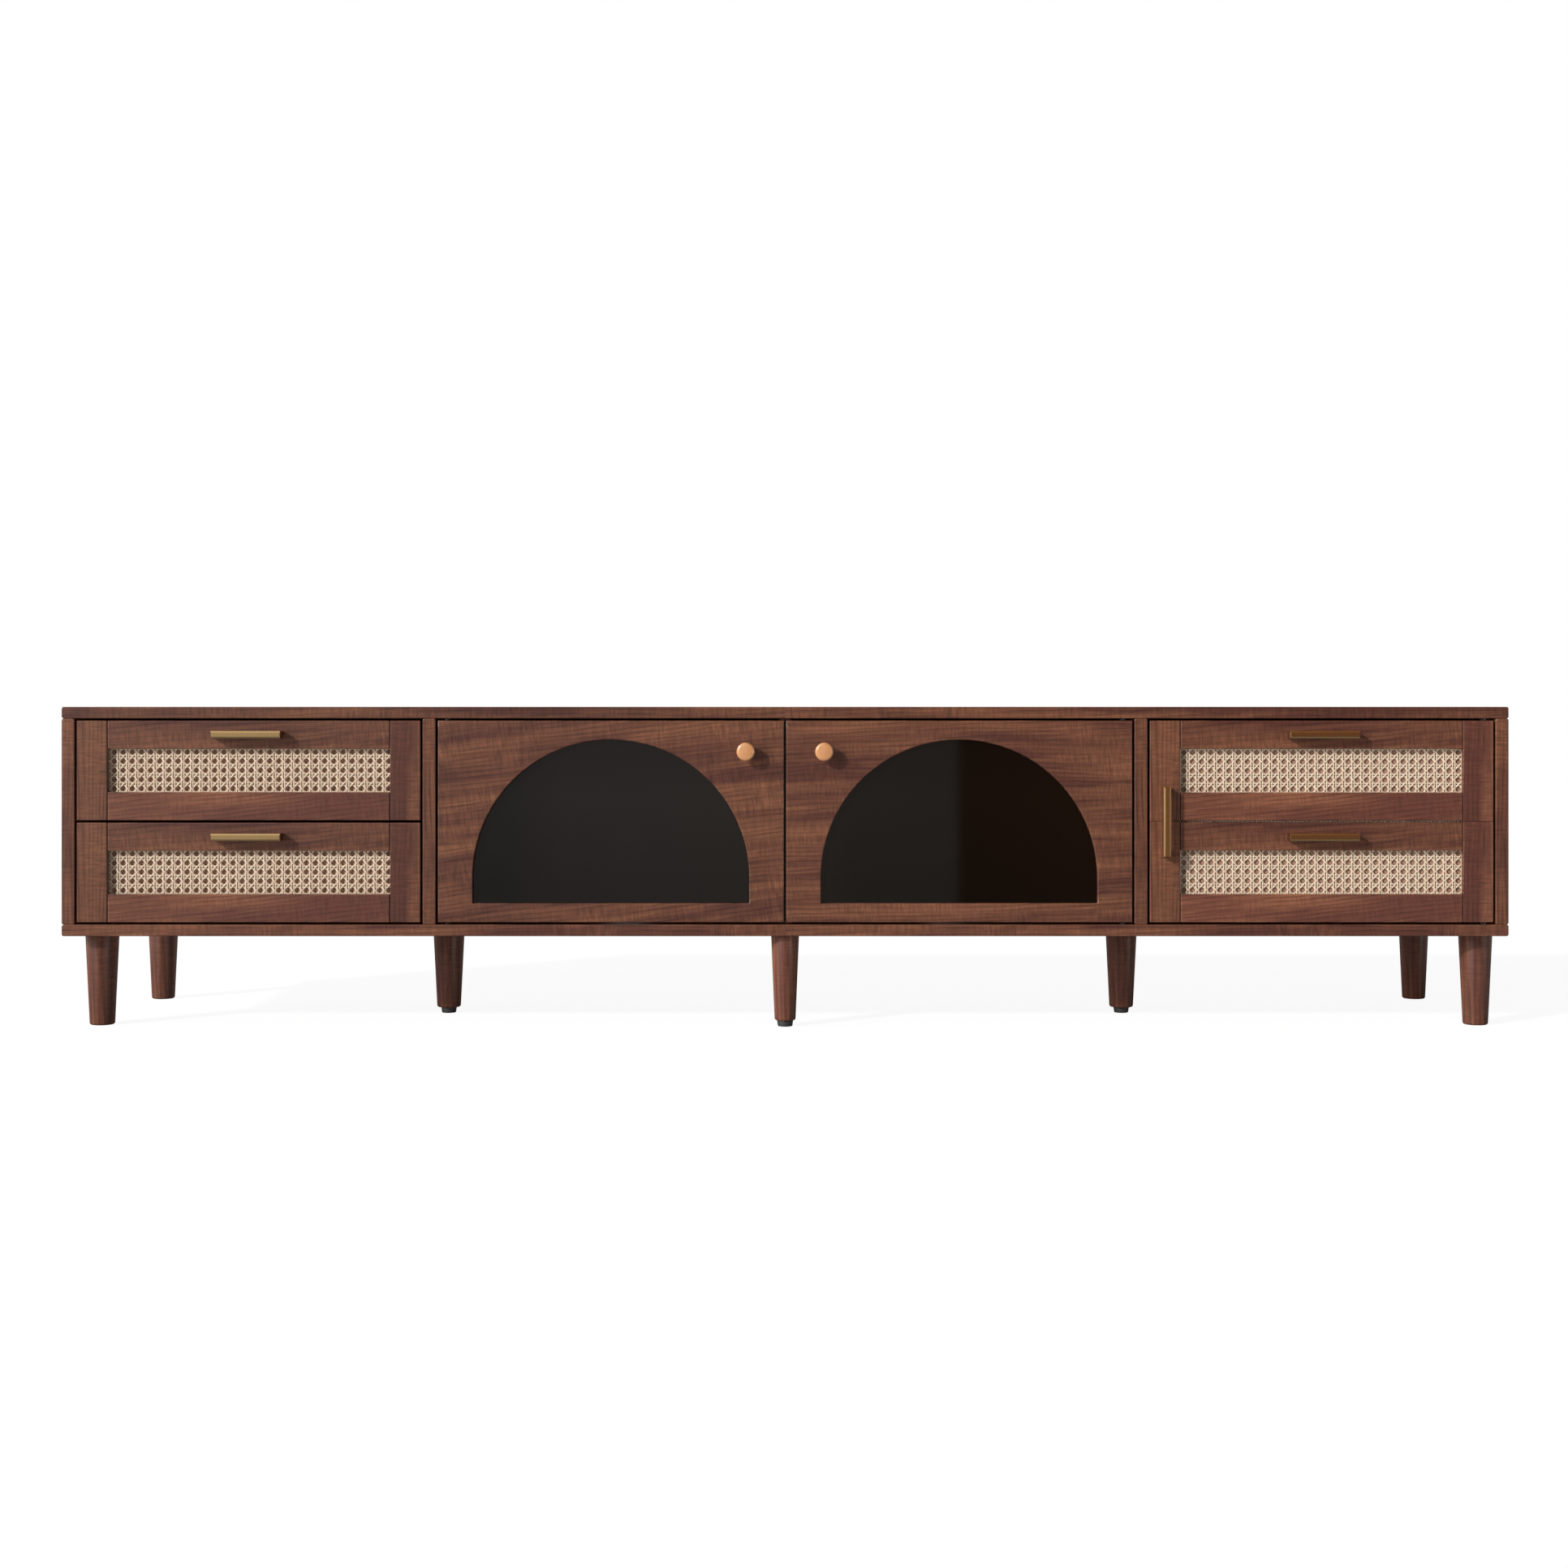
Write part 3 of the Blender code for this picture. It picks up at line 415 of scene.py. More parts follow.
# A strand's section, flat at the back and raised in front, as shares of its width and thickness.
STRAND_SECTION = ((-0.5, 0.5), (-0.22, -0.5), (0.22, -0.5), (0.5, 0.5))
# The fine lines of the skin are drawn coarser than they are, so that they show. A jump from strand to strand
# keeps them from running on in the next one.
CANE_LINE_LENGTH = 20 * MM
CANE_LINE_WIDTH = 0.4 * MM
CANE_LINE_JUMP = 7.3
# The middle of one eye, which places the whole weave in the drawers' windows.
LEFT_EYE_X = -929.9 * MM


def cane_material():
    """Natural cane: beige strips of unlike tone, finely lined, with painted shade where they pass under
    others.
    """
    material = new_material("natural_cane")
    strand = add_node(material, "ShaderNodeAttribute", output="Vector", attribute_name="strand")
    # The attribute under holds the painted shade where a strand passes under others.
    under = add_node(material, "ShaderNodeAttribute", output="Fac", attribute_name="under")
    number = add_node(material, "ShaderNodeSeparateXYZ", {0: strand}, output="Z")
    own = add_node(material, "ShaderNodeTexWhiteNoise", {"W": number}, noise_dimensions="1D")
    lines = {0: strand, 1: (1 / CANE_LINE_LENGTH, 1 / CANE_LINE_WIDTH, CANE_LINE_JUMP)}
    lines = add_node(material, "ShaderNodeVectorMath", lines, operation="MULTIPLY")
    line = add_node(material, "ShaderNodeTexNoise", {"Vector": lines, "Scale": 1.0, "Detail": 2})
    readings = {
        "own_tone": (own, 0.0, 1.0, 0.1, 0.9),
        "line_shade": (line, 0.3, 0.7, 0.9, 1.06),
        "painted_shade_share": (under, 0.6, 1.0, 0.0, 0.75),
    }
    read = {}
    for use, (value, low, high, at_low, at_high) in readings.items():
        span = {"Value": value, 1: low, 2: high, 3: at_low, 4: at_high}
        read[use] = add_node(material, "ShaderNodeMapRange", span)
    colour = {0: read["own_tone"], 6: linear("DEC4A9"), 7: linear("EED8BE")}
    colour = add_node(material, "ShaderNodeMix", colour, 2, data_type="RGBA")
    colour = {0: 1.0, 6: colour, 7: read["line_shade"]}
    colour = add_node(material, "ShaderNodeMix", colour, 2, data_type="RGBA", blend_type="MULTIPLY")
    # Painted shade: dark brown where a strand passes under others.
    colour = {0: read["painted_shade_share"], 6: colour, 7: linear("4A2C1E")}
    relief = {"Height": line, "Strength": 0.4, "Distance": 0.05 * MM}
    skin = {
        "Base Color": add_node(material, "ShaderNodeMix", colour, 2, data_type="RGBA"),
        "Roughness": 0.48,
        "Normal": add_node(material, "ShaderNodeBump", relief),
        "Specular IOR Level": 0.35,
    }
    shader = add_node(material, "ShaderNodeBsdfPrincipled", skin)
    add_node(material, "ShaderNodeOutputMaterial", {"Surface": shader})
    return material


def steps_between(low, high):
    """Evenly spaced values over a stretch, close enough to follow the weave."""
    count = max(2, math.ceil((high - low) / CANE_PITCH * STEPS_PER_PITCH))
    return [low + (high - low) * i / count for i in range(count + 1)]


def weave(name, node, eye, body):
    """A woven sheet in the place of a CAD sheet, with the middle of one eye at eye = (x, z)."""
    low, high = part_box(node)
    middle_y = (low.y + high.y) / 2 + WEAVE_SETBACK
    half = CANE_PITCH / 2
    points = []
    faces = []
    strands = []
    painted_shades = []

    def strand(path, across, width):
        """A strip closed at both ends; its path gives where it runs and its painted shade."""
        length = 0.0
        start = len(points)
        number = strands[-1][2] + 1 if strands else 0
        sides = len(STRAND_SECTION)
        for i, (place, depth) in enumerate(path):
            length += (place - path[i - 1][0]).length if i else 0.0
            for side, out in STRAND_SECTION:
                points.append(place + across * side * width + Vector((0, out * STRAND_THICKNESS, 0)))
                strands.append((length, side * width, number))
                painted_shades.append(depth)
        for ring in range(start, len(points) - sides, sides):
            for i in range(sides):
                j = (i + 1) % sides
                faces.append((ring + i, ring + j, ring + sides + j, ring + sides + i))
        faces.append(tuple(range(start, start + sides)))
        faces.append(tuple(range(len(points) - sides, len(points)))[::-1])

    def crossing(value, origin):
        """1 where two pairs of strands cross and 0 midway between crossings."""
        return 0.5 - 0.5 * math.cos(math.tau * (value - origin) / CANE_PITCH)

    def repeats(low_value, high_value, origin):
        """The places of a repeating strand that fall inside a stretch."""
        first = math.ceil((low_value - origin) / CANE_PITCH)
        last = math.floor((high_value - origin) / CANE_PITCH)
        return [origin + k * CANE_PITCH for k in range(first, last + 1)]

    edge = STRAND_WIDTH / 2
    for pair_offset in (-PAIR_SPACING / 2, PAIR_SPACING / 2):
        for x in repeats(low.x + edge, high.x - edge, eye[0] + half + pair_offset):
            path = []
            for z in steps_between(low.z, high.z):
                path.append((Vector((x, middle_y - CROSSING_LIFT * crossing(z, eye[1]), z)), 0.0))
            strand(path, Vector((1, 0, 0)), STRAND_WIDTH)
        for z in repeats(low.z + edge, high.z - edge, eye[1] + half + pair_offset):
            path = []
            for x in steps_between(low.x, high.x):
                under = crossing(x, eye[0])
                # A level strand dips under the upright ones at a crossing and is painted darker there, as
                # shade.
                path.append((Vector((x, middle_y + CROSSING_LIFT * under, z)), LEVEL_PAINTED_SHADE * under))
            strand(path, Vector((0, 0, 1)), STRAND_WIDTH)
    margin = DIAGONAL_WIDTH / math.sqrt(2) / 2
    for rise in (1, -1):
        # A diagonal has a constant x - rise * z, half a pitch from the eyes' own diagonals.
        origin = eye[0] - rise * eye[1] + half
        first = low.x - max(rise * low.z, rise * high.z)
        last = high.x - min(rise * low.z, rise * high.z)
        for offset in repeats(first, last, origin):
            ends = sorted((rise * (low.x - offset), rise * (high.x - offset)))
            span = (max(low.z, ends[0]) + margin, min(high.z, ends[1]) - margin)
            if span[1] - span[0] < margin:
                continue
            path = []
            for z in steps_between(span[0], span[1]):
                lift = rise * (2 * crossing(z, eye[1]) - 1)
                place = Vector((offset + rise * z, middle_y - DIAGONAL_LIFT * lift, z))
                # A diagonal is painted darker, as shade, where it dips under the other strands.
                path.append((place, 0.5 - 0.5 * lift))
            strand(path, Vector((1, 0, -rise)).normalized(), DIAGONAL_WIDTH)
    mesh = bpy.data.meshes.new(name)
    mesh.from_pydata(points, [], faces)
    attribute = mesh.attributes.new("strand", "FLOAT_VECTOR", "POINT")
    attribute.data.foreach_set("vector", [value for entry in strands for value in entry])
    # Each point's painted shade goes into the attribute under.
    mesh.attributes.new("under", "FLOAT", "POINT").data.foreach_set("value", painted_shades)
    mesh.shade_smooth()
    mesh.set_sharp_from_angle(angle=STRAND_SHARP_ANGLE)
    return add_piece(name, mesh, (0, 0, 0), natural_cane, body, "cane", node)


natural_cane = cane_material()
for level in ("upper", "lower"):
    low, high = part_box(f"drawer_{level}_front_frame")
    eye = (LEFT_EYE_X, (low.z + high.z) / 2)
    weave(f"drawer_{level}_cane_web", f"drawer_{level}_front_cane", eye, f"{level}_drawer")


BACKING_ROUND = 0.4 * MM
DRAWER_BACKING_SETBACK = 2.5 * MM
# Length and width of a fibre in mm.
BACKING_FIBRE = (20, 1.5)


def backing_material():
    """The bare side of veneered board: pale brown, with short fibres along the grain."""
    material = new_material("bare_backing_board")
    place = add_node(material, "ShaderNodeTexCoord", output="Object")
    fibres = {0: place, 1: grain_scale(*BACKING_FIBRE)}
    fibres = add_node(material, "ShaderNodeVectorMath", fibres, operation="MULTIPLY")
    fibre = add_node(material, "ShaderNodeTexNoise", {"Vector": fibres, "Scale": 1.0, "Detail": 2})
    colour = {0: fibre, 6: linear("A88068"), 7: linear("C49C84")}
    relief = {"Height": fibre, "Strength": 0.4, "Distance": 0.05 * MM}
    wood = {
        "Base Color": add_node(material, "ShaderNodeMix", colour, 2, data_type="RGBA"),
        "Roughness": 0.6,
        "Normal": add_node(material, "ShaderNodeBump", relief),
    }
    shader = add_node(material, "ShaderNodeBsdfPrincipled", wood)
    add_node(material, "ShaderNodeOutputMaterial", {"Surface": shader})
    return material


def backing(name, node, body, setback):
    """The board behind a sheet of cane, just clear of its strands and veneered on the inside."""
    low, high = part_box(node)
    low.y += setback
    mesh = board_mesh(name, high - low, BACKING_ROUND)
    piece = add_piece(name, mesh, low, backing_board, body, "walnut", node)
    piece.data.materials.append(backing_walnut)
    for face in piece.data.polygons:
        face.material_index = 1 if face.normal.y > 0.9 else 0
    return keep_flat(piece)


backing_board = backing_material()
backing_walnut = walnut("walnut_veneer_backing", "X", 9.4)
for level in ("upper", "lower"):
    node = f"drawer_{level}_front_backing"
    backing(f"drawer_{level}_backing", node, f"{level}_drawer", DRAWER_BACKING_SETBACK)


# Pulls: flat brass bar, 96 mm long with its ends turned back to the wood, screwed on from behind.
# The bar is linished along its length and its front edges are bevelled, then lacquered satin.
PULL_LENGTH = 96 * MM
PULL_HEIGHT = 10 * MM
PULL_THICKNESS = 8 * MM
PULL_POST = 10 * MM
PULL_BEVEL_WIDTH = 2.2 * MM
PULL_BEVEL_DEPTH = 1.4 * MM
PULL_END_BEVEL = 1.1 * MM
PULL_SHARP_ANGLE = math.radians(30)
# Length and width of a linished line in mm, drawn coarser than it is, so that it shows.
BRASS_LINES = (30, 0.4)
BRASS_PATCH = 40 * MM


def brass_material():
    """Satin brass: fine lines along the bar, a soft gloss and slightly darker patches."""
    material = new_material("satin_brass")
    place = add_node(material, "ShaderNodeTexCoord", output="Object")
    lines = {0: place, 1: grain_scale(*BRASS_LINES)}
    lines = add_node(material, "ShaderNodeVectorMath", lines, operation="MULTIPLY")
    line = add_node(material, "ShaderNodeTexNoise", {"Vector": lines, "Scale": 1.0, "Detail": 3})
    patch = {"Vector": place, "Scale": 1 / BRASS_PATCH, "Detail": 2}
    patch = add_node(material, "ShaderNodeTexNoise", patch)
    colour = {0: patch, 6: linear("BE9F73"), 7: linear("C4A67A")}
    roughness = {"Value": line, 1: 0.3, 2: 0.7, 3: 0.14, 4: 0.18}
    relief = {"Height": line, "Strength": 0.02, "Distance": 0.02 * MM}
    metal = {
        "Base Color": add_node(material, "ShaderNodeMix", colour, 2, data_type="RGBA"),
        "Metallic": 1.0,
        "Roughness": add_node(material, "ShaderNodeMapRange", roughness),
        "Normal": add_node(material, "ShaderNodeBump", relief),
    }
    shader = add_node(material, "ShaderNodeBsdfPrincipled", metal)
    add_node(material, "ShaderNodeOutputMaterial", {"Surface": shader})
    return material


def pull(name, node, body):
    """One pull in the place of a CAD one, level or upright as that one is."""
    low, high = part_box(node)
    centre = (low + high) / 2
    reach = high.y - low.y
    gap = reach - PULL_THICKNESS
    end = PULL_LENGTH / 2
    post = end - PULL_POST
    outline = [(-end, 0), (-end, -reach), (end, -reach), (end, 0)]
    outline += [(post, 0), (post, -gap), (-post, -gap), (-post, 0)]
    shape = bmesh.new()
    face = shape.faces.new([shape.verts.new((along, out, -PULL_HEIGHT / 2)) for along, out in outline])
    grown = bmesh.ops.extrude_face_region(shape, geom=[face])["geom"]
    moved = [v for v in grown if isinstance(v, bmesh.types.BMVert)]
    bmesh.ops.translate(shape, verts=moved, vec=(0, 0, PULL_HEIGHT))
    bmesh.ops.recalc_face_normals(shape, faces=shape.faces)
    outer = [e for e in shape.edges if max(v.co.y for v in e.verts) < -gap - PULL_BEVEL_WIDTH]
    bmesh.ops.bevel(shape, geom=outer, offset=PULL_BEVEL_WIDTH, segments=1, affect="EDGES")
    for vert in shape.verts:
        if abs(vert.co.y + reach - PULL_BEVEL_WIDTH) < MM / 100:
            vert.co.y = PULL_BEVEL_DEPTH - reach
        elif abs(vert.co.y + reach) < MM / 100:
            vert.co.x = math.copysign(end - PULL_END_BEVEL, vert.co.x)
    mesh = mesh_of(name, shape, PULL_SHARP_ANGLE)
    piece = add_piece(name, mesh, (centre.x, high.y, centre.z), satin_brass, body, "brass", node)
    if high.z - low.z > high.x - low.x:
        piece.rotation_euler = (0, math.pi / 2, 0)
    return piece


satin_brass = brass_material()
for level in ("upper", "lower"):
    pull(f"drawer_{level}_pull", f"drawer_{level}_handle", f"{level}_drawer")


# Drawer boxes: sides, back and bottom in the same veneered board, with grooves for the bottom and the
# runners. The runners are planed beech strips, waxed and screwed to the carcass.
box_walnut = walnut("walnut_veneer_box", "Y", 10.3)
box_cross_walnut = walnut("walnut_veneer_box_cross", "X", 11.8)
# Length and width of a fleck in mm.
BEECH_FLECK = (6, 1.2)


def beech_material():
    """Waxed beech: pale, with short darker flecks along the grain, which runs from front to back."""
    material = new_material("waxed_beech")
    place = add_node(material, "ShaderNodeTexCoord", output="Object")
    flecks = {0: place, 1: Vector(grain_scale(*BEECH_FLECK)).yxz}
    flecks = add_node(material, "ShaderNodeVectorMath", flecks, operation="MULTIPLY")
    fleck = add_node(material, "ShaderNodeTexNoise", {"Vector": flecks, "Scale": 1.0, "Detail": 2})
    share = {"Value": fleck, 1: 0.35, 2: 0.7, 3: 0.0, 4: 1.0}
    share = add_node(material, "ShaderNodeMapRange", share)
    colour = {0: share, 6: linear("BC9770"), 7: linear("9C754F")}
    wax = {
        "Base Color": add_node(material, "ShaderNodeMix", colour, 2, data_type="RGBA"),
        "Roughness": 0.5,
    }
    shader = add_node(material, "ShaderNodeBsdfPrincipled", wax)
    add_node(material, "ShaderNodeOutputMaterial", {"Surface": shader})
    return material


waxed_beech = beech_material()
for level in ("upper", "lower"):
    for side in ("left", "right"):
        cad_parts[f"drawer_{level}_side_{side}"].data.materials[0] = box_walnut
        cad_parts[f"drawer_{level}_runner_{side}"].data.materials[0] = waxed_beech
    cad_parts[f"drawer_{level}_back"].data.materials[0] = box_cross_walnut
    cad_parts[f"drawer_{level}_bottom"].data.materials[0] = box_cross_walnut


# Glass doors: one veneered board each, with an arched window cut through it and its edge rounded over.
# The pane of tinted float glass lies in a rebate at the back, and the door hangs on a pin at its outer edge.
ARCH_SIDE_MARGIN = 48 * MM
ARCH_END_MARGIN = 26.5 * MM
ARCH_SHOULDER = 35 * MM
GLASS_SETBACK = 7 * MM
GLASS_REBATE = 8 * MM
WINDOW_ROUND = 1.6 * MM
DOOR_ROUND = 1.7 * MM
DOOR_SHARP_ANGLE = math.radians(50)
ARCH_STEPS = 24
GLASS_HAZE = 111 * MM
door_walnut = {
    "left": walnut("walnut_veneer_door_left", "X", 13.7, lean=0.12, tone=1.05),
    "right": walnut("walnut_veneer_door_right", "X", 14.6, lean=0.03, tone=1.12),
}


def loft(shape, loops, ring=False):
    """Faces between successive closed loops of points; a ring also joins the last loop to the first."""
    rows = [[shape.verts.new(point) for point in loop] for loop in loops]
    pairs = list(zip(rows, rows[1:])) + ([(rows[-1], rows[0])] if ring else [])
    for near, far in pairs:
        for i in range(len(near)):
            j = (i + 1) % len(near)
            shape.faces.new((near[i], near[j], far[j], far[i]))
    if not ring:
        shape.faces.new(rows[0])
        shape.faces.new(rows[-1])
    return shape


def arch_loop(x, z, grow, y):
    """The window's outline, grown outwards, in four stretches of equal count from the lower left corner."""
    left, right = x[0] - grow, x[1] + grow
    foot, spring = z[0] - grow, z[0] + ARCH_SHOULDER
    centre = (left + right) / 2
    half_width = (right - left) / 2
    rise = z[1] + grow - spring
    straight = spring - foot
    quarter = math.pi / 4
    curve = half_width * quarter

    def upright(t, sign):
        """A point up one side: the straight stretch first, then an eighth of the circle."""
        run = t * (straight + curve)
        if run < straight:
            return centre + sign * half_width, foot + run
        angle = (run - straight) / curve * quarter
        return centre + sign * half_width * math.cos(angle), spring + rise * math.sin(angle)

    steps = [i / ARCH_STEPS for i in range(ARCH_STEPS)]
    loop = [(left + (right - left) * t, foot) for t in steps]
    loop += [upright(t, 1) for t in steps]
    for t in steps:
        angle = quarter + 2 * quarter * t
        loop.append((centre + half_width * math.cos(angle), spring + rise * math.sin(angle)))
    loop += [upright(1 - t, -1) for t in steps]
    return [(across, y, up) for across, up in loop]


def rectangle_loop(x, z, shrink, y):
    """A board's outline with the same count of points, from the lower left corner."""
    low = (x[0] + shrink, z[0] + shrink)
    high = (x[1] - shrink, z[1] - shrink)
    corners = [low, (high[0], low[1]), high, (low[0], high[1])]
    loop = []
    for start, end in zip(corners, corners[1:] + corners[:1]):
        for i in range(ARCH_STEPS):
            t = i / ARCH_STEPS
            loop.append((start[0] + (end[0] - start[0]) * t, y, start[1] + (end[1] - start[1]) * t))
    return loop


def quarter_round(radius):
    """(outwards, backwards) offsets of a rounded edge, from the face to the side."""
    angles = [math.pi / 2 * i / EDGE_STEPS for i in range(EDGE_STEPS + 1)]
    return [(radius * (1 - math.sin(a)), radius * (1 - math.cos(a))) for a in angles]


def glass_material():
    """Tinted float glass: almost black, with a clear reflection and a faint film of dust."""
    material = new_material("tinted_glass")
    place = add_node(material, "ShaderNodeTexCoord", output="Object")
    haze = {"Vector": place, "Scale": 1 / GLASS_HAZE, "Detail": 3}
    haze = add_node(material, "ShaderNodeTexNoise", haze)
    colour = {0: haze, 6: linear("120E0B"), 7: linear("17120E")}
    roughness = {"Value": haze, 1: 0.3, 2: 0.7, 3: 0.012, 4: 0.03}
    glass = {
        "Base Color": add_node(material, "ShaderNodeMix", colour, 2, data_type="RGBA"),
        "Roughness": add_node(material, "ShaderNodeMapRange", roughness),
        "Transmission Weight": 0.6,
        "IOR": 1.45,
        "Specular IOR Level": 0.45,
    }
    shader = add_node(material, "ShaderNodeBsdfPrincipled", glass)
    add_node(material, "ShaderNodeOutputMaterial", {"Surface": shader})
    return material


for side in ("left", "right"):
    low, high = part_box(f"door_{side}_panel")
    x = (low.x, high.x)
    z = (low.z, high.z)
    window_x = (x[0] + ARCH_SIDE_MARGIN, x[1] - ARCH_SIDE_MARGIN)
    window_z = (z[0] + ARCH_END_MARGIN, z[1] - ARCH_END_MARGIN)
    rebate_y = FRONT_Y + GLASS_SETBACK
    door_edge = quarter_round(DOOR_ROUND)
    loops = [rectangle_loop(x, z, out, high.y - back) for out, back in door_edge]
    loops += [rectangle_loop(x, z, out, low.y + back) for out, back in reversed(door_edge)]
    loops += [arch_loop(window_x, window_z, out, low.y + back) for out, back in quarter_round(WINDOW_ROUND)]
    for grow, y in ((0, rebate_y), (GLASS_REBATE, rebate_y), (GLASS_REBATE, high.y)):
        loops.append(arch_loop(window_x, window_z, grow, y))
    loops = [[Vector(point) - low for point in loop] for loop in loops]
    mesh = mesh_of(f"door_{side}_board", loft(bmesh.new(), loops, ring=True), DOOR_SHARP_ANGLE)
    piece = add_piece(
        f"door_{side}_board", mesh, low, door_walnut[side], f"{side}_door", "walnut", f"door_{side}_panel"
    )
    keep_flat(piece)
tinted_glass = glass_material()
for side in ("left", "right"):
    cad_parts[f"door_{side}_glass"].data.materials[0] = tinted_glass


# Knobs: wood turned on a lathe, a domed cap on a waisted stem, sprayed with apricot lacquer.
# One is screwed to each glass door from behind, near the meeting edges.
KNOB_STEM_RADIUS = 6 * MM
KNOB_FLARE = 1.5 * MM
KNOB_FLARE_LENGTH = 2 * MM
KNOB_STEM_CLEARANCE = 1 * MM
KNOB_CAP_THICKNESS = 10 * MM
KNOB_ROUND = 3.6 * MM
KNOB_DOME = 0.6 * MM
TURN_STEPS = 64
TURN_SHARP_ANGLE = math.radians(38)
LACQUER_CLOUD = 8.3 * MM
# Orange peel is finer than this and is drawn coarser, so that it shows.
LACQUER_PEEL = 1.1 * MM


def knob_material():
    """Apricot lacquer on turned wood: even, smooth and softly glossy, with a trace of orange peel."""
    material = new_material("apricot_lacquer")
    place = add_node(material, "ShaderNodeTexCoord", output="Object")
    cloud = {"Vector": place, "Scale": 1 / LACQUER_CLOUD, "Detail": 2}
    cloud = add_node(material, "ShaderNodeTexNoise", cloud)
    peel = {"Vector": place, "Scale": 1 / LACQUER_PEEL, "Detail": 1}
    peel = add_node(material, "ShaderNodeTexNoise", peel)
    colour = {0: cloud, 6: linear("D7955F"), 7: linear("E0A06C")}
    relief = {"Height": peel, "Strength": 0.15, "Distance": 0.05 * MM}
    lacquer = {
        "Base Color": add_node(material, "ShaderNodeMix", colour, 2, data_type="RGBA"),
        "Roughness": 0.35,
        "Normal": add_node(material, "ShaderNodeBump", relief),
        "Coat Weight": 1.0,
        "Coat Roughness": 0.1,
        "Coat IOR": 1.7,
    }
    shader = add_node(material, "ShaderNodeBsdfPrincipled", lacquer)
    add_node(material, "ShaderNodeOutputMaterial", {"Surface": shader})
    return material


def circle(radius, height):
    """A ring of points about the Z axis."""
    angles = [math.tau * i / TURN_STEPS for i in range(TURN_STEPS)]
    return [(radius * math.cos(a), radius * math.sin(a), height) for a in angles]


def turned_mesh(name, profile):
    """A lathe-turned mesh from (radius, height) points; both ends are closed with a small flat."""
    shape = loft(bmesh.new(), [circle(radius, height) for radius, height in profile])
    return mesh_of(name, shape, TURN_SHARP_ANGLE)


def arc(centre, radius, start, end, steps=8):
    """Points along a circle from the start angle to the end angle, in degrees."""
    angles = [math.radians(start + (end - start) * i / steps) for i in range(steps + 1)]
    return [(centre[0] + radius * math.cos(a), centre[1] + radius * math.sin(a)) for a in angles]


apricot_lacquer = knob_material()
for side in ("left", "right"):
    low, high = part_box(f"door_{side}_knob")
    radius = (high.x - low.x) / 2
    reach = high.y - low.y
    cap = reach - KNOB_CAP_THICKNESS
    rim = radius - KNOB_ROUND
    profile = [(KNOB_STEM_RADIUS + KNOB_FLARE, 0), (KNOB_STEM_RADIUS, KNOB_FLARE_LENGTH)]
    profile += [(KNOB_STEM_RADIUS, cap - KNOB_STEM_CLEARANCE)]
    profile += arc((rim, cap + KNOB_ROUND), KNOB_ROUND, -90, 0)
    profile += arc((rim, reach - KNOB_DOME - KNOB_ROUND), KNOB_ROUND, 0, 84)
    profile += [(rim * share, reach - KNOB_DOME * share * share) for share in (0.75, 0.5, 0.25, 0.02)]
    mesh = turned_mesh(f"door_{side}_turned_knob", profile)
    mesh.transform(Matrix.Rotation(math.pi / 2, 4, "X"))
    place = ((low.x + high.x) / 2, high.y, (low.z + high.z) / 2)
    add_piece(
        f"door_{side}_turned_knob", mesh, place, apricot_lacquer, f"{side}_door", "knob", f"door_{side}_knob"
    )


# Side door: framed to look like two drawers, with its stiles in two lengths and a slot between its middle
# rails. One sheet of cane runs behind the whole frame and shows in both openings and in the slot. The door
# opens by an upright pull, and the two level ones are only decoration.
SLOT = 2.2 * MM
STILE_GAP = 0.1 * MM
SIDE_BACKING_SETBACK = 1.5 * MM
# The middle of one eye, as for the drawers.
RIGHT_EYE_X = 552.4 * MM
side_door_walnut = frame_walnut("side_door", (1.04, 1.36, 1.15, 1.66))
low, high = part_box("side_door_frame")
sheet_low, sheet_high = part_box("side_door_cane")
inner_x = (low.x + STILE_WIDTH, high.x - STILE_WIDTH)
rail_x = (inner_x[0] + JOINT_GAP, inner_x[1] - JOINT_GAP)
middle_z = (low.z + high.z) / 2
rebate = (
    (inner_x[0] - PANEL_REBATE, FRONT_Y + CANE_SETBACK, sheet_low.z - SEAT),
    (inner_x[1] + PANEL_REBATE, high.y + CUT_MARGIN, sheet_high.z + SEAT),
)
half_height = (high.z - low.z - SLOT) / 2
stile_z = {"lower": (low.z, middle_z - STILE_GAP / 2), "upper": (middle_z + STILE_GAP / 2, high.z)}
front_z = {"lower": (low.z, low.z + half_height), "upper": (high.z - half_height, high.z)}
members = []
for level in ("lower", "upper"):
    members.append((f"stile_left_{level}", "stile_left", (low.x, inner_x[0]), stile_z[level]))
    members.append((f"stile_right_{level}", "stile_right", (inner_x[1], high.x), stile_z[level]))
for level, (foot, head) in front_z.items():
    members.append((f"{level}_rail_top", "rail_top", rail_x, (head - RAIL_HEIGHT, head)))
    members.append((f"{level}_rail_bottom", "rail_bottom", rail_x, (foot, foot + RAIL_HEIGHT)))
for member, veneer, x, z in members:
    material = side_door_walnut[veneer]
    piece = frame_member(f"side_door_{member}", x, z, high.y - low.y, material, "side_door", rebate)
    if member == "stile_left_upper":
        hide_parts("side_door_frame")
weave("side_door_cane_web", "side_door_cane", (RIGHT_EYE_X, middle_z + CANE_PITCH / 2), "side_door")
backing("side_door_backing_board", "side_door_backing", "side_door", SIDE_BACKING_SETBACK)
for name in ("pull", "handle_upper", "handle_lower"):
    pull(f"side_door_bar_{name}", f"side_door_{name}", "side_door")


# Door pivots: turned steel pins with a thrust collar, blackened in oil, one above and one below each door.
# They are pressed into the boards and carry the door in a bore. The flat plate over the centre leg is of the
# same steel and lies across the seam of the bottom boards.
STEEL_MOTTLE = 2.5 * MM


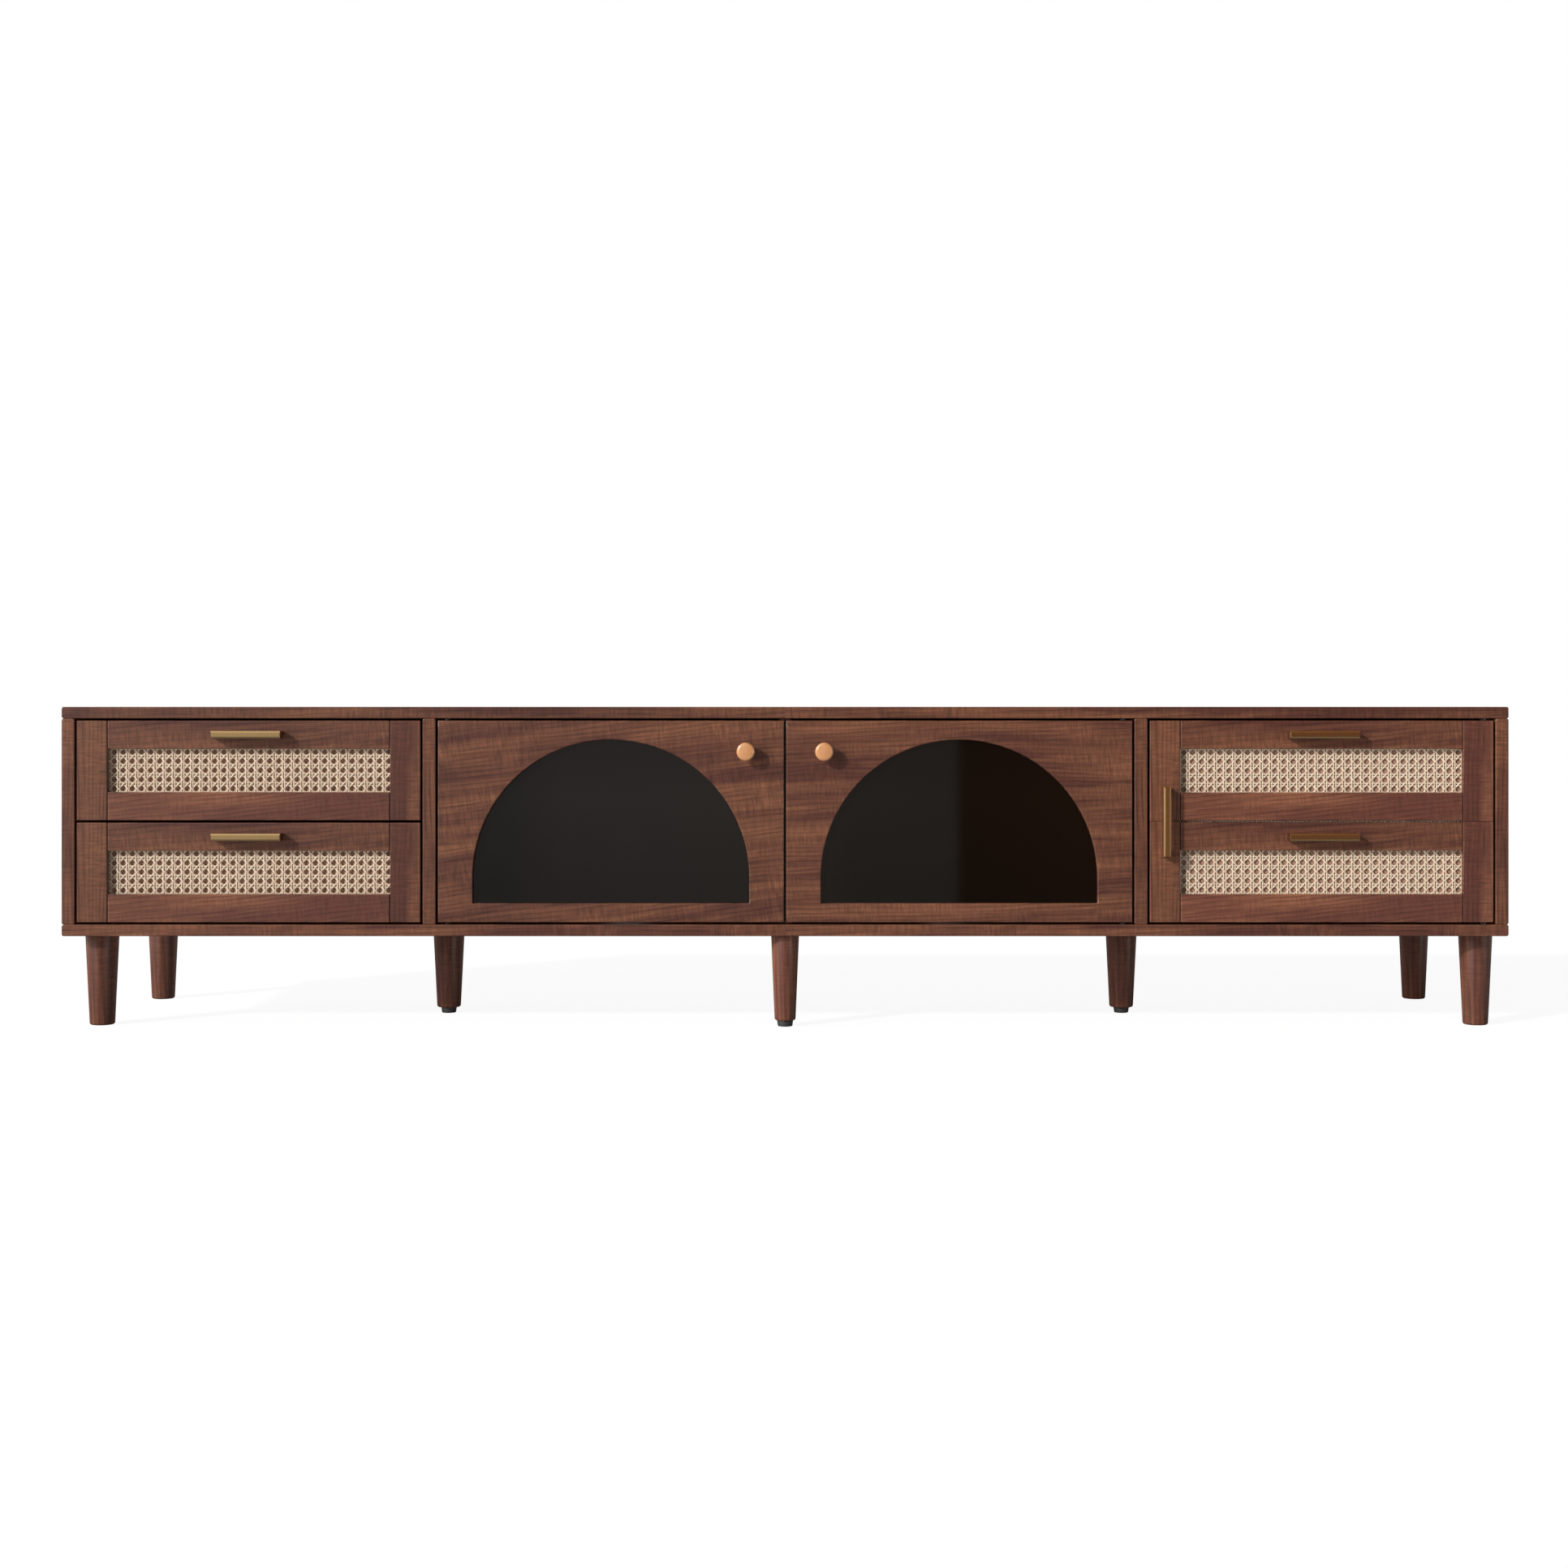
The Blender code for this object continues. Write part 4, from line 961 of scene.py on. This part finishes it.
def steel_material():
    """Blackened steel: dark grey, with a mottled oil finish."""
    material = new_material("blackened_steel")
    place = add_node(material, "ShaderNodeTexCoord", output="Object")
    mottle = {"Vector": place, "Scale": 1 / STEEL_MOTTLE, "Detail": 3}
    mottle = add_node(material, "ShaderNodeTexNoise", mottle)
    colour = {0: mottle, 6: linear("2A2826"), 7: linear("363330")}
    roughness = {"Value": mottle, 1: 0.3, 2: 0.7, 3: 0.28, 4: 0.42}
    metal = {
        "Base Color": add_node(material, "ShaderNodeMix", colour, 2, data_type="RGBA"),
        "Metallic": 1.0,
        "Roughness": add_node(material, "ShaderNodeMapRange", roughness),
    }
    shader = add_node(material, "ShaderNodeBsdfPrincipled", metal)
    add_node(material, "ShaderNodeOutputMaterial", {"Surface": shader})
    return material


blackened_steel = steel_material()
for door in ("door_left", "door_right", "side_door"):
    for end in ("lower", "upper"):
        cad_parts[f"{door}_pivot_{end}"].data.materials[0] = blackened_steel
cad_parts["centre_leg_plate"].data.materials[0] = blackened_steel


# Back: two thin veneered panels let into a rebate of the sides and pinned to the dividers, each with a round
# hole for cables behind a glass door. Their edges are tight under the top and on the bottom board.
BACK_EDGE_ROUND = 0.3 * MM
CABLE_HOLE_RADIUS = 30 * MM
CABLE_HOLE_HEIGHT = 90 * MM
CABLE_HOLE_CUT = 100 * MM
CABLE_HOLE_SHARP_ANGLE = math.radians(40)
back_walnut = walnut("walnut_veneer_back", "X", 15.9)
hole_x = (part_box("divider_centre")[1].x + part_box("divider_right")[0].x) / 2
for side, sign in (("left", -1), ("right", 1)):
    low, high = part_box(f"back_panel_{side}")
    low.z -= SEAT
    high.z += SEAT
    mesh = board_mesh(f"back_board_{side}", high - low, BACK_EDGE_ROUND)
    panel = add_piece(f"back_board_{side}", mesh, low, back_walnut, "carcass", "walnut", f"back_panel_{side}")
    hole = bmesh.new()
    bmesh.ops.create_cone(
        hole,
        cap_ends=True,
        segments=TURN_STEPS,
        radius1=CABLE_HOLE_RADIUS,
        radius2=CABLE_HOLE_RADIUS,
        depth=CABLE_HOLE_CUT,
    )
    bmesh.ops.rotate(hole, verts=hole.verts, matrix=Matrix.Rotation(math.pi / 2, 3, "X"))
    cut(panel, hole, (sign * hole_x, high.y, low.z + CABLE_HOLE_HEIGHT))
    panel.data.set_sharp_from_angle(angle=CABLE_HOLE_SHARP_ANGLE)


# Legs: turned from solid walnut, tapered towards the foot, with both ends rounded over and only oiled.
# A spigot at the top is glued into the bottom board. The leg under the centre seam is slimmer.
# Diameters at the top and at the foot in mm.
LEG_DIAMETERS = (46, 34.5)
CENTRE_LEG_DIAMETERS = (39, 29.5)
LEG_FOOT_ROUND = 3 * MM
LEG_TOP_ROUND = 1 * MM
SPIGOT_RADIUS = 5 * MM
END_FLAT = 0.4 * MM
CORNER_LEGS = ("front_left", "front_right", "back_left", "back_right")
INNER_LEGS = ("middle_left", "middle_right", "front_centre")
leg_walnut = walnut("turned_walnut_leg", "Z", 17.2, tone=1.2, gloss=0.38, coat=0.0)
# The centre leg takes a lighter copy of the leg walnut, painted light against the shade under the bottom
# board.
painted_lighter_centre_leg_walnut = walnut("turned_walnut_centre_leg_painted_lighter", "Z", 17.2, tone=1.6, gloss=0.38, coat=0.0)
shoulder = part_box("bottom_panel_left")[0].z - SEAT
for place_name in CORNER_LEGS + INNER_LEGS:
    central = place_name == "front_centre"
    diameters = CENTRE_LEG_DIAMETERS if central else LEG_DIAMETERS
    top_radius, foot_radius = [diameter / 2 * MM for diameter in diameters]
    low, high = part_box(f"leg_{place_name}")
    profile = [(END_FLAT, low.z)]
    profile += arc((foot_radius - LEG_FOOT_ROUND, low.z + LEG_FOOT_ROUND), LEG_FOOT_ROUND, -90, 0)
    profile += arc((top_radius - LEG_TOP_ROUND, shoulder - LEG_TOP_ROUND), LEG_TOP_ROUND, 0, 90, 4)
    profile += [(SPIGOT_RADIUS, shoulder), (SPIGOT_RADIUS, high.z), (END_FLAT, high.z)]
    mesh = turned_mesh(f"turned_leg_{place_name}", profile)
    place = ((low.x + high.x) / 2, (low.y + high.y) / 2, 0)
    material = painted_lighter_centre_leg_walnut if central else leg_walnut
    add_piece(f"turned_leg_{place_name}", mesh, place, material, "carcass", "walnut", f"leg_{place_name}")


# Levelling feet: black nylon pads moulded on a threaded stem, screwed into the three inner legs.
# They turn down by hand to take up an uneven floor, and taper a little towards it.
PAD_HEIGHT = 8 * MM
PAD_TAPER = 1 * MM
PAD_FOOT_ROUND = 1 * MM
PAD_TOP_ROUND = 0.8 * MM
STEM_RADIUS = 4 * MM
# The moulded grain is finer than this and is drawn coarser, so that it shows.
NYLON_GRAIN = 0.55 * MM


def nylon_material():
    """Moulded black nylon: dark grey, finely textured and matt."""
    material = new_material("black_nylon")
    place = add_node(material, "ShaderNodeTexCoord", output="Object")
    texture = {"Vector": place, "Scale": 1 / NYLON_GRAIN, "Detail": 2}
    texture = add_node(material, "ShaderNodeTexNoise", texture)
    colour = {0: texture, 6: linear("2E2B2B"), 7: linear("3E3B3B")}
    relief = {"Height": texture, "Strength": 0.3, "Distance": 0.05 * MM}
    nylon = {
        "Base Color": add_node(material, "ShaderNodeMix", colour, 2, data_type="RGBA"),
        "Roughness": 0.55,
        "Normal": add_node(material, "ShaderNodeBump", relief),
    }
    shader = add_node(material, "ShaderNodeBsdfPrincipled", nylon)
    add_node(material, "ShaderNodeOutputMaterial", {"Surface": shader})
    return material


black_nylon = nylon_material()
for place_name in INNER_LEGS:
    low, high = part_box(f"foot_{place_name}")
    pad_radius = (high.x - low.x) / 2
    foot_x = pad_radius - PAD_TAPER - PAD_FOOT_ROUND
    profile = [(END_FLAT, 0)]
    profile += arc((foot_x, PAD_FOOT_ROUND), PAD_FOOT_ROUND, -90, 0, 4)
    profile += arc((pad_radius - PAD_TOP_ROUND, PAD_HEIGHT - PAD_TOP_ROUND), PAD_TOP_ROUND, 0, 90, 4)
    profile += [(STEM_RADIUS, PAD_HEIGHT), (STEM_RADIUS, high.z), (END_FLAT, high.z)]
    mesh = turned_mesh(f"levelling_pad_{place_name}", profile)
    place = ((low.x + high.x) / 2, (low.y + high.y) / 2, 0)
    body = f"{place_name}_foot"
    add_piece(f"levelling_pad_{place_name}", mesh, place, black_nylon, body, "black", f"foot_{place_name}")


# Studio: a white floor that keeps the console's shadow, a white surround, a key lamp high on the left with
# two softer ones beside it, and a weak fill from the right. In place of the surround, gloss shows a room in
# front of the console: a wall, its darker right-hand end and a softbox on the left.
FLOOR_HALF_WIDTH = 9.0
FLOOR_NEAR_Y = -2.2
FLOOR_FAR_Y = 14.0
FLOOR_REFLECTANCE = 0.5
FLOOR_SEEN_REFLECTANCE = 0.16
FLOOR_SEEN_GLOW = 0.925
WALL_REACH = 0.25
# Colours of the wall from left to right, each at the X part of a level direction from the console.
WALL_STOPS = (
    (-0.235, "DEDACF"),
    (-0.19, "C2BEB6"),
    (-0.13, "BBB7AE"),
    (-0.10, "CFC5C2"),
    (0.0, "D2C7BE"),
    (0.03, "B5A9A0"),
    (0.077, "B1A49B"),
    (0.081, "7A573C"),
    (0.145, "8A6248"),
    (0.165, "A67D63"),
    (0.188, "A67D63"),
    (0.205, "7A5B46"),
)
BEHIND_GLASS = "2A2018"
# Where the softbox stands, as a direction from the console, and its brightness.
SOFTBOX_WAY = (-0.68, -0.59, 0.43)
SOFTBOX = (6.5, 6.5, 6.5, 1)
AMBIENT_LEFT = 0.14
AMBIENT_RIGHT = 0.05
AMBIENT_BACK = 0.4

floor_mesh = bpy.data.meshes.new("studio_floor")
corners = [(-FLOOR_HALF_WIDTH, FLOOR_NEAR_Y, 0), (FLOOR_HALF_WIDTH, FLOOR_NEAR_Y, 0)]
corners += [(FLOOR_HALF_WIDTH, FLOOR_FAR_Y, 0), (-FLOOR_HALF_WIDTH, FLOOR_FAR_Y, 0)]
floor_mesh.from_pydata(corners, [], [(0, 1, 2, 3)])
floor = bpy.data.objects.new("studio_floor", floor_mesh)
scene.collection.objects.link(floor)
# White paint: it glows just short of white to the camera, and its own shade adds the rest and the shadow.
paint = new_material("white_paint")
seen = add_node(paint, "ShaderNodeLightPath", output="Is Camera Ray")
shade = add_node(paint, "ShaderNodeMix", {0: seen, 2: FLOOR_REFLECTANCE, 3: FLOOR_SEEN_REFLECTANCE})
matt = add_node(paint, "ShaderNodeBsdfDiffuse", {"Color": shade})
glow = add_node(paint, "ShaderNodeMath", {0: seen, 1: FLOOR_SEEN_GLOW}, operation="MULTIPLY")
glow = add_node(paint, "ShaderNodeEmission", {"Strength": glow})
both = add_node(paint, "ShaderNodeAddShader", {0: matt, 1: glow})
add_node(paint, "ShaderNodeOutputMaterial", {"Surface": both})
floor_mesh.materials.append(paint)

world = bpy.data.worlds.new("studio")
world.use_nodes = True
world.node_tree.nodes.clear()
scene.world = world
toward = add_node(world, "ShaderNodeTexCoord", output="Generated")
way = add_node(world, "ShaderNodeSeparateXYZ", {0: toward}).node.outputs
to_box = {0: toward, 1: SOFTBOX_WAY}
to_box = add_node(world, "ShaderNodeVectorMath", to_box, "Value", operation="DOT_PRODUCT")
from_middle = add_node(world, "ShaderNodeMath", {0: way["X"]}, operation="ABSOLUTE")
# What is read from a direction: a part of it, that part's range, and the values that the range's ends give.
readings = {
    "softbox": (to_box, 0.94, 0.965, 0.0, 1.0),
    "across_wall": (way["X"], -WALL_REACH, WALL_REACH, 0.0, 1.0),
    "low_wall": (way["Z"], -0.07, -0.03, 0.8, 1.0),
    "high_wall": (way["Z"], -0.03, -0.005, 1.0, 0.87),
    "overhead": (way["Z"], 0.4, 0.8, 1.0, 1.6),
    "to_back": (way["Y"], 0.05, 0.3, 0.35, 1.0),
    "not_up": (way["Z"], 0.7, 0.3, 0.0, 1.0),
    "beside": (from_middle, 0.3, 0.5, 0.0, 1.0),
    "left_to_right": (way["X"], -1.0, 1.0, AMBIENT_LEFT, AMBIENT_RIGHT),
    "less_from_top": (way["Z"], 0.0, 1.0, 1.0, 0.4),
    "behind": (way["Y"], 0.2, 0.6, 0.0, AMBIENT_BACK),
}
read = {}
for use, (value, low, high, at_low, at_high) in readings.items():
    span = {"Value": value, 1: low, 2: high, 3: at_low, 4: at_high}
    read[use] = add_node(world, "ShaderNodeMapRange", span)
products = {
    "wall_shade": ("low_wall", "high_wall", "overhead"),
    "side_wall": ("to_back", "not_up", "beside"),
    "ambient": ("left_to_right", "less_from_top"),
}
for use, factors in products.items():
    read[use] = 1.0
    for factor in factors:
        read[use] = add_node(world, "ShaderNodeMath", {0: read[use], 1: read[factor]}, operation="MULTIPLY")
wall = add_node(world, "ShaderNodeValToRGB", {0: read["across_wall"]})
stops = wall.node.color_ramp.elements
places = [x / WALL_REACH / 2 + 0.5 for x, _ in WALL_STOPS]
for place in places[len(stops) :]:
    stops.new(place)
for stop, place, (_, colour) in zip(stops, places, WALL_STOPS):
    stop.position = place
    stop.color = linear(colour)
mirrored = add_node(world, "ShaderNodeVectorMath", {0: wall, 1: read["wall_shade"]}, operation="MULTIPLY")
for share, colour in ((read["side_wall"], WHITE), (read["softbox"], SOFTBOX)):
    mirrored = {0: share, 6: mirrored, 7: colour}
    mirrored = add_node(world, "ShaderNodeMix", mirrored, 2, data_type="RGBA")
light = {0: read["ambient"], 1: read["behind"]}
light = add_node(world, "ShaderNodeMath", light, operation="MAXIMUM")
ray = add_node(world, "ShaderNodeLightPath").node.outputs
shown = (("Is Glossy Ray", mirrored), ("Is Transmission Ray", linear(BEHIND_GLASS)), ("Is Camera Ray", WHITE))
for kind, colour in shown:
    light = {0: ray[kind], 6: light, 7: colour}
    light = add_node(world, "ShaderNodeMix", light, 2, data_type="RGBA")
backdrop = add_node(world, "ShaderNodeBackground", {"Color": light})
add_node(world, "ShaderNodeOutputWorld", {"Surface": backdrop})


def lamp(name, way, strength, spread, mirrored=True):
    """A distant lamp that shines along way, with its spread in degrees. Gloss shows it only if mirrored."""
    light = bpy.data.lights.new(name, "SUN")
    light.energy = strength
    light.angle = math.radians(spread)
    placed = bpy.data.objects.new(name, light)
    placed.visible_glossy = mirrored
    placed.rotation_mode = "QUATERNION"
    placed.rotation_quaternion = Vector(way).to_track_quat("-Z", "Y")
    scene.collection.objects.link(placed)


lamp("key_lamp", (1.16, 1, -0.73), 2.1, 3)
lamp("side_lamp", (1.2, 1, -0.08), 0.5, 8, mirrored=False)
lamp("soft_lamp", (2.0, 1, -0.3), 1.95, 50, mirrored=False)
lamp("fill_lamp", (-1, 0.85, -0.02), 0.24, 8)
